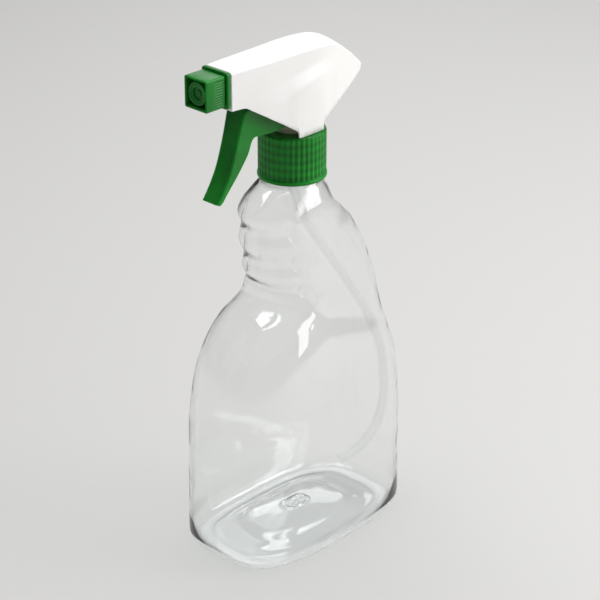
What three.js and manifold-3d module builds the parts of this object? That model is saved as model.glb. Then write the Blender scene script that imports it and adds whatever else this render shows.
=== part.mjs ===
// Trigger spray bottle: a clear blown bottle with a screw closure and a lever pump head.
// Millimetres, +Z up, spraying along -X. The origin is under the neck, on the surface the bottle stands on.
import * as THREE from 'three';
import { mergeVertices } from 'three/addons/utils/BufferGeometryUtils.js';
import Module from 'manifold-3d';

const wasm = await Module();
wasm.setup();

// Driving dimensions. Heights in the pump head are measured from the closure's lower edge, NECK_Z up.

const GAP = 0.3; // between pieces that touch

const NECK_Z = 204; // bottom edge of the closure above the surface
const THREAD = { pitch: 4.24, low: 8.6, neckTurns: 1.5, capTurns: 1.3 }; // six threads to the inch

const BOTTLE = { wall: 1, pushUp: 9, sides: 36, gripPitch: 18, gripWave: 1.15 };
const NECK = { boreR: 10.8, r: 12.6, threadR: 13.7, lip: 19 };

const CAP = {
  r: 17.35, beadR: 17.75, height: 25.2, roof: 1.9, rootR: 14.3, boreR: 9.6, ribs: 40, ribDepth: 0.55,
};
const FLANGE = { low: 20.9, high: 23, r: 13.3, neckR: 9.2, top: 28.6 };

const BARREL = { z: 59.8, r: 4.5, boreR: 2.6, seatR: 1.6, front: -57.2, seat: -42.5, rear: 12 };
const CYLINDER = { z: 36.3, r: 6.5, boreR: 5.5, front: -9, rear: 8.6 };
const SPIGOT = { r: 4.25, boreR: 3.1, bottom: 1 };
const RISER = { x: 11.5, r: 1.5, top: BARREL.z + 5 };
const TUBE = { r: 2.75, boreR: 1.9, top: 8.9 };
const BALL_R = 1.8;

const PIVOT = { x: -20, z: 53, pinR: 1.9, holeR: 2.15, earY: 6.4, pinY: 7.9 };
const CHEEK = { inner: 6.85, outer: 8 };
const LEVER = { half: 5.6, wall: 1.5 };

const NOZZLE = {
  front: -65.4, back: -53.4, flangeFront: -52.9, flangeBack: -50.9,
  halfY: 7.7, halfZ: 8, flangeY: 9, flangeZ: 9.3, wall: 1.3, floor: -61.2, floorBack: -58.9, hubR: 3.3,
};

// Materials

function finish(color, roughness, metalness = 0) {
  return new THREE.MeshStandardMaterial({ color, roughness, metalness });
}

const clearPet = finish(0xdfe4e4, 0.08);
const greenPp = finish(0x2f9a4a, 0.38);
const whitePp = finish(0xf2f1ec, 0.35);
const creamPp = finish(0xe6e0c8, 0.45);
const naturalPe = finish(0xe9ebe8, 0.4);
const softPe = finish(0xd9d9d4, 0.6);
const steel = finish(0xb8bcc0, 0.3, 1);

// Solids

/** Merges a geometry's shared points, drops collapsed triangles and turns its faces outwards. */
function closed(geometry) {
  const bare = geometry.clone();
  bare.deleteAttribute('normal');
  bare.deleteAttribute('uv');
  const merged = mergeVertices(bare, 1e-4);
  const p = merged.attributes.position;
  const source = Array.from(merged.index.array);
  const index = [];
  let volume = 0;
  const [a, b, c] = [new THREE.Vector3(), new THREE.Vector3(), new THREE.Vector3()];
  for (let i = 0; i < source.length; i += 3) {
    const [i0, i1, i2] = source.slice(i, i + 3);
    if (i0 === i1 || i1 === i2 || i2 === i0) continue;
    index.push(i0, i1, i2);
    a.fromBufferAttribute(p, i0);
    b.fromBufferAttribute(p, i1);
    c.fromBufferAttribute(p, i2);
    volume += a.dot(b.cross(c));
  }
  merged.setIndex(volume < 0 ? index.reverse() : index);
  return merged;
}

/** A closed geometry as a solid for boolean work. */
function solid(geometry) {
  const g = closed(geometry);
  const vertProperties = new Float32Array(g.attributes.position.array);
  const triVerts = new Uint32Array(g.index.array);
  return new wasm.Manifold(new wasm.Mesh({ numProp: 3, vertProperties, triVerts }));
}

/** A solid, or a closed geometry, as a named mesh. */
function piece(name, shape, material) {
  let geometry = shape;
  if (shape.getMesh) {
    const { vertProperties, triVerts } = shape.getMesh();
    geometry = new THREE.BufferGeometry();
    geometry.setAttribute('position', new THREE.BufferAttribute(new Float32Array(vertProperties), 3));
    geometry.setIndex(new THREE.BufferAttribute(new Uint32Array(triVerts), 1));
  } else {
    geometry = closed(shape);
  }
  geometry.computeVertexNormals();
  const mesh = new THREE.Mesh(geometry, material);
  mesh.name = name;
  return mesh;
}

const join = (first, ...rest) => rest.reduce((sum, s) => sum.add(s), first);
const cut = (first, ...rest) => rest.reduce((left, s) => left.subtract(s), first);

/** A turned shape about Z, from [radius, height] points that close on themselves or on the axis. */
function turned(points, sides = 28) {
  const profile = points.map(([r, z]) => new THREE.Vector2(r, z));
  return new THREE.LatheGeometry(profile, sides).rotateX(Math.PI / 2);
}

/** A turned shape whose axis lies along X at height z, from [radius, x] points. */
function turnedX(points, z = 0, sides = 20) {
  return turned(points, sides).rotateY(Math.PI / 2).translate(0, 0, z);
}

/** A ring's closed profile between two radii and two heights. */
function ringProfile(inner, outer, low, high) {
  return [[inner, low], [outer, low], [outer, high], [inner, high], [inner, low]];
}

/** A solid rod's profile between two heights. */
const rodProfile = (r, low, high) => [[0, low], [r, low], [r, high], [0, high]];

/** An outline in X and Z, extruded across Y from one side to the other. */
function slab(points, yLow, yHigh) {
  const shape = new THREE.Shape(points.map(([x, z]) => new THREE.Vector2(x, z)));
  const body = new THREE.ExtrudeGeometry(shape, { depth: yHigh - yLow, bevelEnabled: false });
  return body.rotateX(Math.PI / 2).translate(0, yHigh, 0);
}

/** A box between two corners. */
function block([x0, y0, z0], [x1, y1, z1]) {
  return new THREE.BoxGeometry(x1 - x0, y1 - y0, z1 - z0)
    .translate((x0 + x1) / 2, (y0 + y1) / 2, (z0 + z1) / 2);
}

/** Skins rings that each have the same number of [x, y, z] points, and closes both ends with a fan. */
function loft(rings) {
  const sides = rings[0].length;
  const points = rings.flat();
  const index = [];
  for (let i = 0; i + 1 < rings.length; i += 1) {
    for (let j = 0; j < sides; j += 1) {
      const a = i * sides + j;
      const b = i * sides + ((j + 1) % sides);
      index.push(a, b, a + sides, b, b + sides, a + sides);
    }
  }
  [0, rings.length - 1].forEach((end, side) => {
    const ring = rings[end];
    const middle = [0, 1, 2].map((k) => ring.reduce((sum, p) => sum + p[k], 0) / sides);
    points.push(middle);
    for (let j = 0; j < sides; j += 1) {
      const a = end * sides + j;
      const b = end * sides + ((j + 1) % sides);
      index.push(...(side === 0 ? [b, a, points.length - 1] : [a, b, points.length - 1]));
    }
  });
  const geometry = new THREE.BufferGeometry();
  geometry.setAttribute('position', new THREE.Float32BufferAttribute(points.flat(), 3));
  geometry.setIndex(index);
  return geometry;
}

/** A helical ridge about Z: a tapered bar from the wall at rootR out to tipR, faded at both ends. */
function threadRidge({ rootR, tipR, low, turns, rootWidth = 2, tipWidth = 1.1 }) {
  const steps = Math.ceil(turns * 24);
  const rings = [];
  for (let i = 0; i <= steps; i += 1) {
    const t = i / steps;
    const angle = t * turns * 2 * Math.PI;
    const z = low + t * turns * THREAD.pitch;
    const fade = Math.min(1, 0.15 + 6 * Math.min(t, 1 - t));
    const tip = rootR + (tipR - rootR) * fade;
    const corner = (r, dz) => [r * Math.cos(angle), r * Math.sin(angle), z + dz];
    rings.push([
      corner(rootR, -rootWidth / 2), corner(tip, -tipWidth / 2),
      corner(tip, tipWidth / 2), corner(rootR, rootWidth / 2),
    ]);
  }
  return loft(rings);
}

class Helix extends THREE.Curve {
  constructor(r, length, turns) {
    super();
    Object.assign(this, { r, length, turns });
  }

  getPoint(t, target = new THREE.Vector3()) {
    const angle = 2 * Math.PI * this.turns * t;
    return target.set(this.length * t, this.r * Math.cos(angle), this.r * Math.sin(angle));
  }
}

/** A polygon with round proportions, for wires and tubes swept along a curve. */
function disc(r, sides, holeR = 0) {
  const corners = (radius) => Array.from({ length: sides }, (_, i) => {
    const a = (2 * Math.PI * i) / sides;
    return new THREE.Vector2(radius * Math.cos(a), radius * Math.sin(a));
  });
  const shape = new THREE.Shape(corners(r));
  if (holeR > 0) shape.holes.push(new THREE.Path(corners(holeR).reverse()));
  return shape;
}

/** A coil spring about the X axis. */
function coil({ r, wireR, low, high, turns }) {
  const options = { extrudePath: new Helix(r, high - low, turns), steps: turns * 10, bevelEnabled: false };
  return new THREE.ExtrudeGeometry(disc(wireR, 5), options).translate(low, 0, 0);
}

// Bottle: oval sections stacked from the surface to the neck, each [height at x = 0, front x, rear x,
// half width, roundness (2 is an ellipse), widest x, slope along X].

const OUTLINE = [
  [0, -53, 58, 32.6, 3.2, 2, 0],
  [1.5, -56.5, 61.2, 35.4, 3.2, 2, 0],
  [5, -58.8, 63.4, 37, 3.2, 2, 0],
  [12, -59.5, 64.2, 37.6, 3.1, 1, 0],
  [34, -59.5, 64.5, 37.6, 3, 1, 0],
  [55, -59.5, 64.5, 37, 3, 1, -0.01],
  [74, -59, 64.4, 36.2, 3, 1, -0.05],
  [94, -55.3, 63.4, 34.7, 3, 2, -0.12],
  [109, -48.5, 62.4, 32.6, 2.9, 3, -0.2],
  [122, -37.5, 60.6, 29.4, 2.8, 4, -0.28],
  [132, -25.5, 59.4, 26.2, 2.6, 2, -0.3],
  [140, -23.6, 57.4, 24.6, 2.4, 2, -0.26],
  [146, -24.3, 54.2, 24, 2.4, 2, -0.16],
  [155, -26, 48.4, 23, 2.4, 1, -0.06],
  [164, -27.6, 42.8, 22.1, 2.4, 0, 0],
  [174, -29.4, 36, 21.3, 2.4, -2, 0],
  [182, -30.9, 28.4, 20.4, 2.3, -3, 0],
  [188, -32, 22.4, 19.8, 2.3, -2, 0],
  [193, -31.4, 19.4, 19, 2.2, 0, 0],
  [197, -26.9, 18.4, 17.6, 2.1, 0, 0],
  [200.5, -21.3, 16.9, 16.1, 2, 0, 0],
  [203, -16, 15, 14.7, 2, 0, 0],
];
const GRIP = { low: 137, lowFull: 147, highFull: 189, high: 196 };

/** The bottle's section at a height, by a smooth curve through the outline's rows. */
function section(z) {
  const last = OUTLINE.length - 1;
  const k = Math.max(0, Math.min(last - 1, OUTLINE.findLastIndex((row) => row[0] <= z)));
  const t = (z - OUTLINE[k][0]) / (OUTLINE[k + 1][0] - OUTLINE[k][0]);
  const slope = (i, c) => {
    if (i <= 0 || i >= last) return 0;
    return (OUTLINE[i + 1][c] - OUTLINE[i - 1][c]) / (OUTLINE[i + 1][0] - OUTLINE[i - 1][0]);
  };
  const span = OUTLINE[k + 1][0] - OUTLINE[k][0];
  const value = (c) => {
    const [h00, h10] = [2 * t ** 3 - 3 * t ** 2 + 1, t ** 3 - 2 * t ** 2 + t];
    const [h01, h11] = [3 * t ** 2 - 2 * t ** 3, t ** 3 - t ** 2];
    return h00 * OUTLINE[k][c] + h01 * OUTLINE[k + 1][c]
      + span * (h10 * slope(k, c) + h11 * slope(k + 1, c));
  };
  const [front, rear, half, power, mid, tilt] = [1, 2, 3, 4, 5, 6].map(value);
  const { smoothstep } = THREE.MathUtils;
  const grip = smoothstep(z, GRIP.low, GRIP.lowFull) * (1 - smoothstep(z, GRIP.highFull, GRIP.high));
  const wave = BOTTLE.gripWave * grip * Math.cos((2 * Math.PI * (z - (NECK_Z - 31))) / BOTTLE.gripPitch);
  return { z, front: front - wave, rear, half, power, mid, tilt };
}

/** One ring of the bottle's wall, drawn in by a wall's thickness and moved by lift. */
function bottleRing({ z, front, rear, half, power, mid, tilt }, inset = 0, lift = 0) {
  return Array.from({ length: BOTTLE.sides }, (_, i) => {
    const angle = (2 * Math.PI * i) / BOTTLE.sides;
    const c = Math.cos(angle);
    const s = Math.sin(angle);
    const reach = Math.abs(c) ** (2 / power) * Math.sign(c);
    const x = mid + reach * (c < 0 ? mid - front - inset : rear - mid - inset);
    const y = Math.sign(s) * Math.abs(s) ** (2 / power) * (half - inset);
    return [x, y, z + tilt * x + lift];
  });
}

const roundRing = (r, z) => Array.from({ length: BOTTLE.sides }, (_, i) => {
  const a = (2 * Math.PI * i) / BOTTLE.sides;
  return [r * Math.cos(a), r * Math.sin(a), z];
});

/** The bottle: outer skin from the push-up to the lip, then the inner skin back down. */
function bottle() {
  const heights = [
    0, 1.5, 5, 12, 34, 64, 83, 98, 110, 120, 128, 134, 140,
    146, 150.5, 155, 159.5, 164, 168.5, 173, 177.5, 182, 186.5, 191, 195, 199, 203,
  ];
  const base = section(0);
  const shrink = (k) => ({
    ...base,
    front: base.mid + (base.front - base.mid) * k,
    rear: base.mid + (base.rear - base.mid) * k,
    half: base.half * k,
  });
  const rise = (k) => BOTTLE.pushUp * (1 - ((k - 0.1) / 0.8) ** 2);
  const under = [0.1, 0.4, 0.7, 0.84].map((k) => bottleRing(shrink(k), 0, rise(k)));
  const foot = bottleRing(shrink(0.9));
  const outer = heights.map((z) => bottleRing(section(z)));
  const lip = NECK_Z + NECK.lip;
  const neck = [
    [NECK.r, NECK_Z + 0.3], [NECK.r, lip - 0.5], [NECK.r - 0.5, lip],
    [NECK.boreR, lip], [NECK.boreR, NECK_Z - 1],
  ];
  const innerHeights = [199, 195, 191, 182, 173, 164, 155, 146, 140, 128, 110, 83, 34, 12, 5, 1.5];
  const inner = innerHeights.map((z) => {
    const lift = THREE.MathUtils.mapLinear(z, 5, 201, 0.9, -0.7);
    return bottleRing(section(z), BOTTLE.wall, lift);
  });
  const floor = [0.86, 0.7, 0.4, 0.1].map((k) => bottleRing(shrink(k), 0, rise(k) + BOTTLE.wall));
  const rings = [
    ...under, foot, ...outer, ...neck.map(([r, z]) => roundRing(r, z)), ...inner, ...floor,
  ];
  const thread = threadRidge({
    rootR: NECK.r - 0.4, tipR: NECK.threadR, low: NECK_Z + THREAD.low, turns: THREAD.neckTurns,
  });
  return join(solid(loft(rings)), solid(thread));
}

// Closure and seal

/** The closure: ribbed skirt, plain bead at its lower edge and a thread half a pitch off the neck's. */
function closureCap() {
  const { r, beadR, height, roof, rootR, boreR, ribs, ribDepth } = CAP;
  const wallR = r - ribDepth;
  const shell = turned([
    [rootR, 0], [beadR - 0.4, 0], [beadR, 0.5], [beadR, 1.7], [wallR, 2.4],
    [wallR, height - 0.9], [r - 1.2, height], [boreR, height], [boreR, height - roof],
    [rootR, height - roof], [rootR, 0],
  ], 40);
  const outline = new THREE.Shape(Array.from({ length: ribs * 2 }, (_, i) => {
    const a = (Math.PI * i) / ribs;
    const radius = i % 2 === 0 ? r : wallR - 0.05;
    return new THREE.Vector2(radius * Math.cos(a), radius * Math.sin(a));
  }));
  outline.holes.push(new THREE.Path(disc(rootR + 0.6, ribs).getPoints().reverse()));
  const skirt = new THREE.ExtrudeGeometry(outline, { depth: height - 4.2, bevelEnabled: false });
  skirt.translate(0, 0, 2.8);
  const thread = threadRidge({
    rootR: rootR + 0.4, tipR: NECK.r + GAP, low: THREAD.low - THREAD.pitch / 2, turns: THREAD.capTurns,
  });
  return join(solid(shell), solid(skirt), solid(thread));
}

const bottleGasket = () => turned(ringProfile(8.6, 13.4, NECK.lip + 0.25, NECK.lip + 1.6));

// Pump body: flange and neck in the closure, the inlet spigot, the cylinder over the closure, a riser
// behind it and the discharge barrel that runs forward to the nozzle.

function pumpBody() {
  const foot = turned([
    [0, SPIGOT.bottom], [SPIGOT.r, SPIGOT.bottom], [SPIGOT.r, FLANGE.low], [FLANGE.r, FLANGE.low],
    [FLANGE.r, FLANGE.high], [FLANGE.neckR, FLANGE.high], [FLANGE.neckR, FLANGE.top - 1],
    [8.2, FLANGE.top], [0, FLANGE.top],
  ], 24);
  const cylinder = turnedX(rodProfile(CYLINDER.r, CYLINDER.front, CYLINDER.rear + 1.6), CYLINDER.z, 24);
  const saddle = block([-8, -4.6, FLANGE.top - 1], [9.5, 4.6, CYLINDER.z]);
  const riser = block([RISER.x - 3.5, -3.6, CYLINDER.z - 5], [RISER.x + 3.5, 3.6, RISER.top]);
  const barrel = turnedX(rodProfile(BARREL.r, BARREL.front, BARREL.rear), BARREL.z);
  const ears = [-PIVOT.earY, 2].map((y) => solid(block(
    [PIVOT.x - 3.6, y, PIVOT.z - 3],
    [PIVOT.x + 3.6, y + PIVOT.earY - 2, BARREL.z - 2],
  )));
  const trunnions = turned(rodProfile(PIVOT.pinR, -PIVOT.pinY, PIVOT.pinY), 16)
    .rotateX(Math.PI / 2).translate(PIVOT.x, 0, PIVOT.z);
  const body = join(solid(foot), ...[cylinder, saddle, riser, barrel, trunnions].map(solid), ...ears);

  const inlet = turned(rodProfile(SPIGOT.boreR, SPIGOT.bottom - 1, FLANGE.low - 1), 20);
  const inletPort = turned(rodProfile(1.2, 0, 15), 12).rotateY(0.43);
  inletPort.translate(1.2, 0, FLANGE.low - 2.5);
  const bore = turnedX(rodProfile(CYLINDER.boreR, CYLINDER.front - 1, CYLINDER.rear), CYLINDER.z, 24);
  const outletPort = turnedX(rodProfile(1.4, CYLINDER.rear - 1, RISER.x), CYLINDER.z + 2, 12);
  const lift = turned(rodProfile(RISER.r, CYLINDER.z, RISER.top + 1), 12).translate(RISER.x, 0, 0);
  const throat = turnedX(rodProfile(BARREL.boreR, BARREL.front - 1, BARREL.seat), BARREL.z);
  const channel = turnedX(rodProfile(BARREL.seatR, BARREL.seat - 1, RISER.x - 0.5), BARREL.z, 16);
  return cut(body, ...[inlet, inletPort, bore, outletPort, lift, throat, channel].map(solid));
}

/** The plug that closes the riser, with its stem down in the riser's channel. */
const bodyPlug = () => turned([
  [0, -3.6], [RISER.r - GAP, -3.6], [RISER.r - GAP, GAP], [2.6, GAP], [2.6, 1.5], [0, 1.5],
], 16).translate(RISER.x, 0, RISER.top);

const SEAT = { low: TUBE.top + 0.4, throatR: 1.2, rimR: 2.2, rim: 14.4 };

const ballSeat = () => turned([
  [SEAT.throatR, SEAT.low], [SPIGOT.boreR - GAP, SEAT.low], [SPIGOT.boreR - GAP, SEAT.rim],
  [SEAT.rimR, SEAT.rim], [SEAT.throatR, SEAT.rim - 1.2], [SEAT.throatR, SEAT.low],
], 20);

const inletBall = () => new THREE.SphereGeometry(BALL_R, 12, 8).translate(0, 0, SEAT.rim + 0.45);

/** The pick-up tube: straight in the spigot, then bowed to the rear wall and curled above the base. */
function dipTube() {
  const path = new THREE.CatmullRomCurve3([
    [0, 0, TUBE.top], [0, 0, 2], [1.2, -0.8, -10], [6.5, -2.6, -26], [13, -5, -37], [22.5, -8, -53],
    [33, -10, -69.5], [42.5, -12, -86], [50, -13, -102], [55.5, -13.5, -117], [58, -13.5, -134],
    [58, -13, -148], [54.5, -12, -161], [47.5, -10, -170], [39, -8, -175], [31, -6, -177],
  ].map(([x, y, z]) => new THREE.Vector3(x, y, z)));
  const options = { extrudePath: path, steps: 26, bevelEnabled: false };
  return new THREE.ExtrudeGeometry(disc(TUBE.r, 8, TUBE.boreR), options);
}

// Piston group, turned about the cylinder's axis

const PISTON = {
  rodEnd: -32, rodR: 2.4, headR: CYLINDER.boreR - GAP, headFront: -7.4, headBack: -5.4,
  neckR: 1.6, nose: -2.6,
};
const CUP = { floor: -3.6, lip: -2.2 };
const SPRING = { r: 3, wireR: 0.45, turns: 5, low: -2.9, high: 7.9 };

const piston = () => turnedX([
  [0, PISTON.rodEnd], [1.4, PISTON.rodEnd + 0.5], [PISTON.rodR, PISTON.rodEnd + 2],
  [PISTON.rodR, PISTON.headFront - 1], [PISTON.headR, PISTON.headFront],
  [PISTON.headR, PISTON.headBack], [PISTON.neckR, PISTON.headBack],
  [PISTON.neckR, PISTON.nose], [0, PISTON.nose],
]);

const pistonCup = () => turnedX([
  [PISTON.neckR + GAP, PISTON.headBack + GAP], [PISTON.headR, PISTON.headBack + GAP],
  [CYLINDER.boreR - 0.1, CUP.lip], [4.4, CUP.lip], [4, CUP.floor], [PISTON.neckR + GAP, CUP.floor],
  [PISTON.neckR + GAP, PISTON.headBack + GAP],
]);

const returnSpring = () => coil(SPRING);

// Trigger: a hollow finger lever that opens into two cheeks on the pump body's trunnions

function trigger() {
  const outline = [
    [-37.8, 46.6], [-40.2, 42.5], [-43.8, 31], [-48.8, 16], [-53.5, 7], [-58, 1.9], [-57.2, 0.8],
    [-55, 0.7], [-53.2, 2.6], [-47.9, 8.9], [-43, 14], [-39, 18.6], [-36, 23.4], [-33.8, 28.6],
    [-31, 31.2], [-30, 33], [-33, 46.6],
  ];
  const hollow = [
    [-36.4, 50], [-38.8, 42.4], [-42.3, 30.5], [-47.2, 15.6], [-50, 10], [-45, 16], [-40, 22],
    [-34, 32], [-24, 36], [-24, 50],
  ];
  const cheek = [
    [-38, 46.6], [-36.8, 36], [-31, 31], [-12.5, 31], [-11.2, 33], [-13.4, 44], [-15.8, 54.4], [-18.2, 57],
    [-21.8, 57], [-24.2, 54.6], [-27, 48.2], [-33, 47.6],
  ];
  const between = [[-36.6, 60], [-35.2, 31], [0, 20], [0, 60]];
  const inner = LEVER.half - LEVER.wall;
  const blade = solid(slab(outline, -LEVER.half, LEVER.half));
  const lever = cut(blade, solid(slab(hollow, -inner, inner)));
  const arms = solid(slab(cheek, -CHEEK.outer, CHEEK.outer));
  const yoke = cut(arms, solid(slab(between, -CHEEK.inner, CHEEK.inner)));
  const pad = block([-40.6, -1.2, CYLINDER.z - 4], [PISTON.rodEnd - GAP, 1.2, CYLINDER.z + 4]);
  const holes = turned(rodProfile(PIVOT.holeR, -12, 12), 20).rotateX(Math.PI / 2);
  holes.translate(PIVOT.x, 0, PIVOT.z);
  return cut(join(lever, yoke, solid(pad)), solid(holes));
}

// Shroud: a thin moulded cover, by sections along X. Each is [x, top height, fall from the middle to the
// edge, top half width, ridge half width, ridge height, flank half width, flank height, hem half width,
// hem height].

const SHROUD = { wall: 1, corner: 1.2, frontWall: 1.2, chinEnd: -43 };
const SHROUD_SECTIONS = [
  [-50.4, 69, 0.1, 9.2, 9.25, 55, 9.25, 51, 9.2, 49.4],
  [-42, 69.1, 0.2, 9.5, 9.7, 52.3, 9.75, 50.5, 9.7, 49.1],
  [-30, 69.3, 0.5, 10.1, 10.4, 54, 11, 47.5, 11.2, 41.9],
  [-18, 69.6, 0.8, 10.5, 11, 56, 12.6, 46.8, 12.9, 34.4],
  [-12, 69.8, 0.9, 10.7, 11.3, 57.3, 13.4, 49, 13.9, 30.4],
  [-9.6, 69.8, 0.9, 10.75, 11.4, 57.9, 13.7, 50, 14.3, 28.8],
  [-9.1, 69.8, 0.9, 10.75, 11.4, 58, 13.7, 50.1, 14.5, 25.6],
  [0, 70, 1, 11, 11.7, 59.4, 14, 52.4, 14.6, 25.6],
  [8, 70, 1.2, 11, 11.6, 60.8, 13.6, 53.8, 14.3, 25.6],
  [8.5, 70, 1.2, 11, 11.6, 60.9, 13.5, 53.9, 14.1, 30],
  [18, 69.8, 1.9, 10.6, 11, 62, 12, 55.4, 12.4, 34.5],
  [20.5, 68.7, 1.8, 10.4, 10.8, 62, 11.6, 55.3, 11.9, 35.6],
  [26, 65, 1.4, 9.8, 10, 60.4, 10.4, 54.5, 10.6, 38.2],
  [34, 59, 1.2, 8.5, 8.6, 55.6, 8.7, 51, 8.7, 41.9],
  [40.6, 53.6, 1, 6.9, 7, 51, 7, 48.4, 6.9, 44.9],
  [43.8, 50.8, 0.8, 5.8, 5.9, 49, 5.9, 48, 5.7, 46.4],
  [45.8, 48.9, 0.6, 4.4, 4.5, 48, 4.5, 47.8, 4.4, 47.4],
];

/** One closed section of the shroud, drawn in by inset, with its hem moved down by drop. */
function shroudRing(row, inset = 0, drop = 0) {
  const [x, top, fall, topHalf, ridgeHalf, ridge, flankHalf, flank, hemHalf, hem] = row;
  const edge = top - fall;
  const r = Math.min(SHROUD.corner, 0.3 * (edge - hem));
  const half = [
    [0.35 * topHalf, top - inset], [topHalf - r - inset, edge - inset],
    [topHalf - 0.3 * r - inset, edge - 0.3 * r - inset], [topHalf - inset, edge - r],
    [ridgeHalf - inset, ridge], [flankHalf - inset, flank], [hemHalf - inset, hem - drop],
  ];
  const mirrored = half.map(([y, z]) => [-y, z]).reverse();
  return [...half, ...mirrored].map(([y, z]) => [x, y, z]);
}

function shroud() {
  const { wall, frontWall, chinEnd } = SHROUD;
  const [front, ...rest] = SHROUD_SECTIONS;
  const chin = [front[0] + frontWall, chinEnd].map((x) => shroudRing([x, ...front.slice(1)], wall, -wall));
  const openRows = [[chinEnd + 0.1, ...front.slice(1)], ...rest.slice(1, -1)];
  const hollow = loft([...chin, ...openRows.map((row) => shroudRing(row, wall, 20))]);
  const outer = loft(SHROUD_SECTIONS.map((row) => shroudRing(row)));
  const hole = turnedX(rodProfile(BARREL.r + 0.5, front[0] - 2, front[0] + 4), BARREL.z);
  return cut(solid(outer), solid(hollow), solid(hole));
}

// Nozzle group, turned about the barrel's axis

/** A square bar along X with rounded edges. */
function roundedBar(halfY, halfZ, corner, x0, x1) {
  const s = new THREE.Shape();
  s.absarc(halfZ - corner, corner - halfY, corner, -Math.PI / 2, 0);
  s.absarc(halfZ - corner, halfY - corner, corner, 0, Math.PI / 2);
  s.absarc(corner - halfZ, halfY - corner, corner, Math.PI / 2, Math.PI);
  s.absarc(corner - halfZ, corner - halfY, corner, Math.PI, 1.5 * Math.PI);
  const bar = new THREE.ExtrudeGeometry(s, { depth: x1 - x0, bevelEnabled: false, curveSegments: 3 });
  return bar.rotateY(Math.PI / 2).translate(x0, 0, 0);
}

function nozzle() {
  const { front, back, flangeFront, flangeBack, halfY, halfZ, flangeY, flangeZ } = NOZZLE;
  const { wall, floor, floorBack, hubR } = NOZZLE;
  const bars = [
    roundedBar(halfY, halfZ, 0.8, front, back),
    roundedBar(halfY - 0.6, halfZ - 0.6, 0.8, back - 0.5, flangeFront + 0.5),
    roundedBar(flangeY, flangeZ, 1.6, flangeFront, flangeBack),
  ];
  const hollows = [
    roundedBar(halfY - wall, halfZ - wall, 0.6, front - 1, floor),
    turnedX(rodProfile(BARREL.r + GAP, floorBack, flangeBack + 1)),
    turnedX(rodProfile(hubR, floor - 1, floorBack + 1)),
  ];
  return cut(join(...bars.map(solid)), ...hollows.map(solid));
}

/** The round insert on the recess's floor: stepped rings round the spray hole and a hub behind. */
function orificeDisc() {
  const back = NOZZLE.floor - GAP;
  const hub = NOZZLE.hubR - GAP;
  const hubEnd = NOZZLE.floorBack - 0.5;
  const [holeR, centre, ring, rim] = [0.4, back - 2.2, back - 2.5, back - 3];
  return turnedX([
    [holeR, centre], [1.4, centre], [1.7, centre + 0.7], [3.2, centre + 0.7],
    [3.5, ring], [4.5, ring], [4.8, rim],
    [5.9, rim], [5.9, back], [hub, back], [hub, hubEnd], [holeR, hubEnd], [holeR, centre],
  ]);
}

const nozzleSeal = () => turnedX(ringProfile(2.9, 4.3, NOZZLE.floorBack + GAP, BARREL.front - GAP));

/** The swirl core: a post with a flat head, standing in the barrel's mouth. */
const spinner = () => turnedX([
  [0, -58.9], [2.2, -58.9], [2.2, -57], [1.5, -56.6],
  [1.5, -51.5], [2.2, -51], [2.2, -49.4], [0, -49.4],
]);

const dischargeDisc = () => turnedX(rodProfile(2.2, BARREL.seat - 1.1, BARREL.seat - GAP));

const dischargeSpring = () => coil({ r: 1.6, wireR: 0.25, low: -49, high: BARREL.seat - 1.5, turns: 3 });

// Assembly

const axisGroup = (height, ...pieces) => {
  const group = new THREE.Group();
  group.position.z = height;
  group.add(...pieces);
  return group;
};

const pistonGroup = axisGroup(
  CYLINDER.z,
  piece('piston', piston(), naturalPe),
  piece('piston_cup', pistonCup(), softPe),
  piece('return_spring', returnSpring(), steel),
);

const nozzleGroup = axisGroup(
  BARREL.z,
  piece('nozzle', nozzle(), greenPp),
  piece('orifice_disc', orificeDisc(), greenPp),
  piece('nozzle_seal', nozzleSeal(), softPe),
  piece('spinner', spinner(), naturalPe),
  piece('discharge_disc', dischargeDisc(), naturalPe),
  piece('discharge_spring', dischargeSpring(), steel),
);

const head = axisGroup(
  NECK_Z,
  piece('closure_cap', closureCap(), greenPp),
  piece('bottle_gasket', bottleGasket(), softPe),
  piece('pump_body', pumpBody(), creamPp),
  piece('body_plug', bodyPlug(), creamPp),
  piece('ball_seat', ballSeat(), naturalPe),
  piece('inlet_ball', inletBall(), steel),
  piece('dip_tube', dipTube(), naturalPe),
  piece('trigger', trigger(), greenPp),
  piece('shroud', shroud(), whitePp),
  pistonGroup,
  nozzleGroup,
);

const sprayBottle = new THREE.Group();
sprayBottle.add(piece('bottle', bottle(), clearPet), head);

export default sprayBottle;
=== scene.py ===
"""Trigger spray bottle: the finished look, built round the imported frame.

Lengths in the classes are millimetres. The bottle's heights are above the surface it stands on; the
pump head's heights are above the closure's lower edge, which is read from the frame.
"""

from __future__ import annotations

import logging
import math
from collections.abc import Callable, Sequence
from dataclasses import dataclass, field
from enum import Enum

import bmesh
import bpy
import numpy as np
from mathutils import Matrix, Vector

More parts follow.
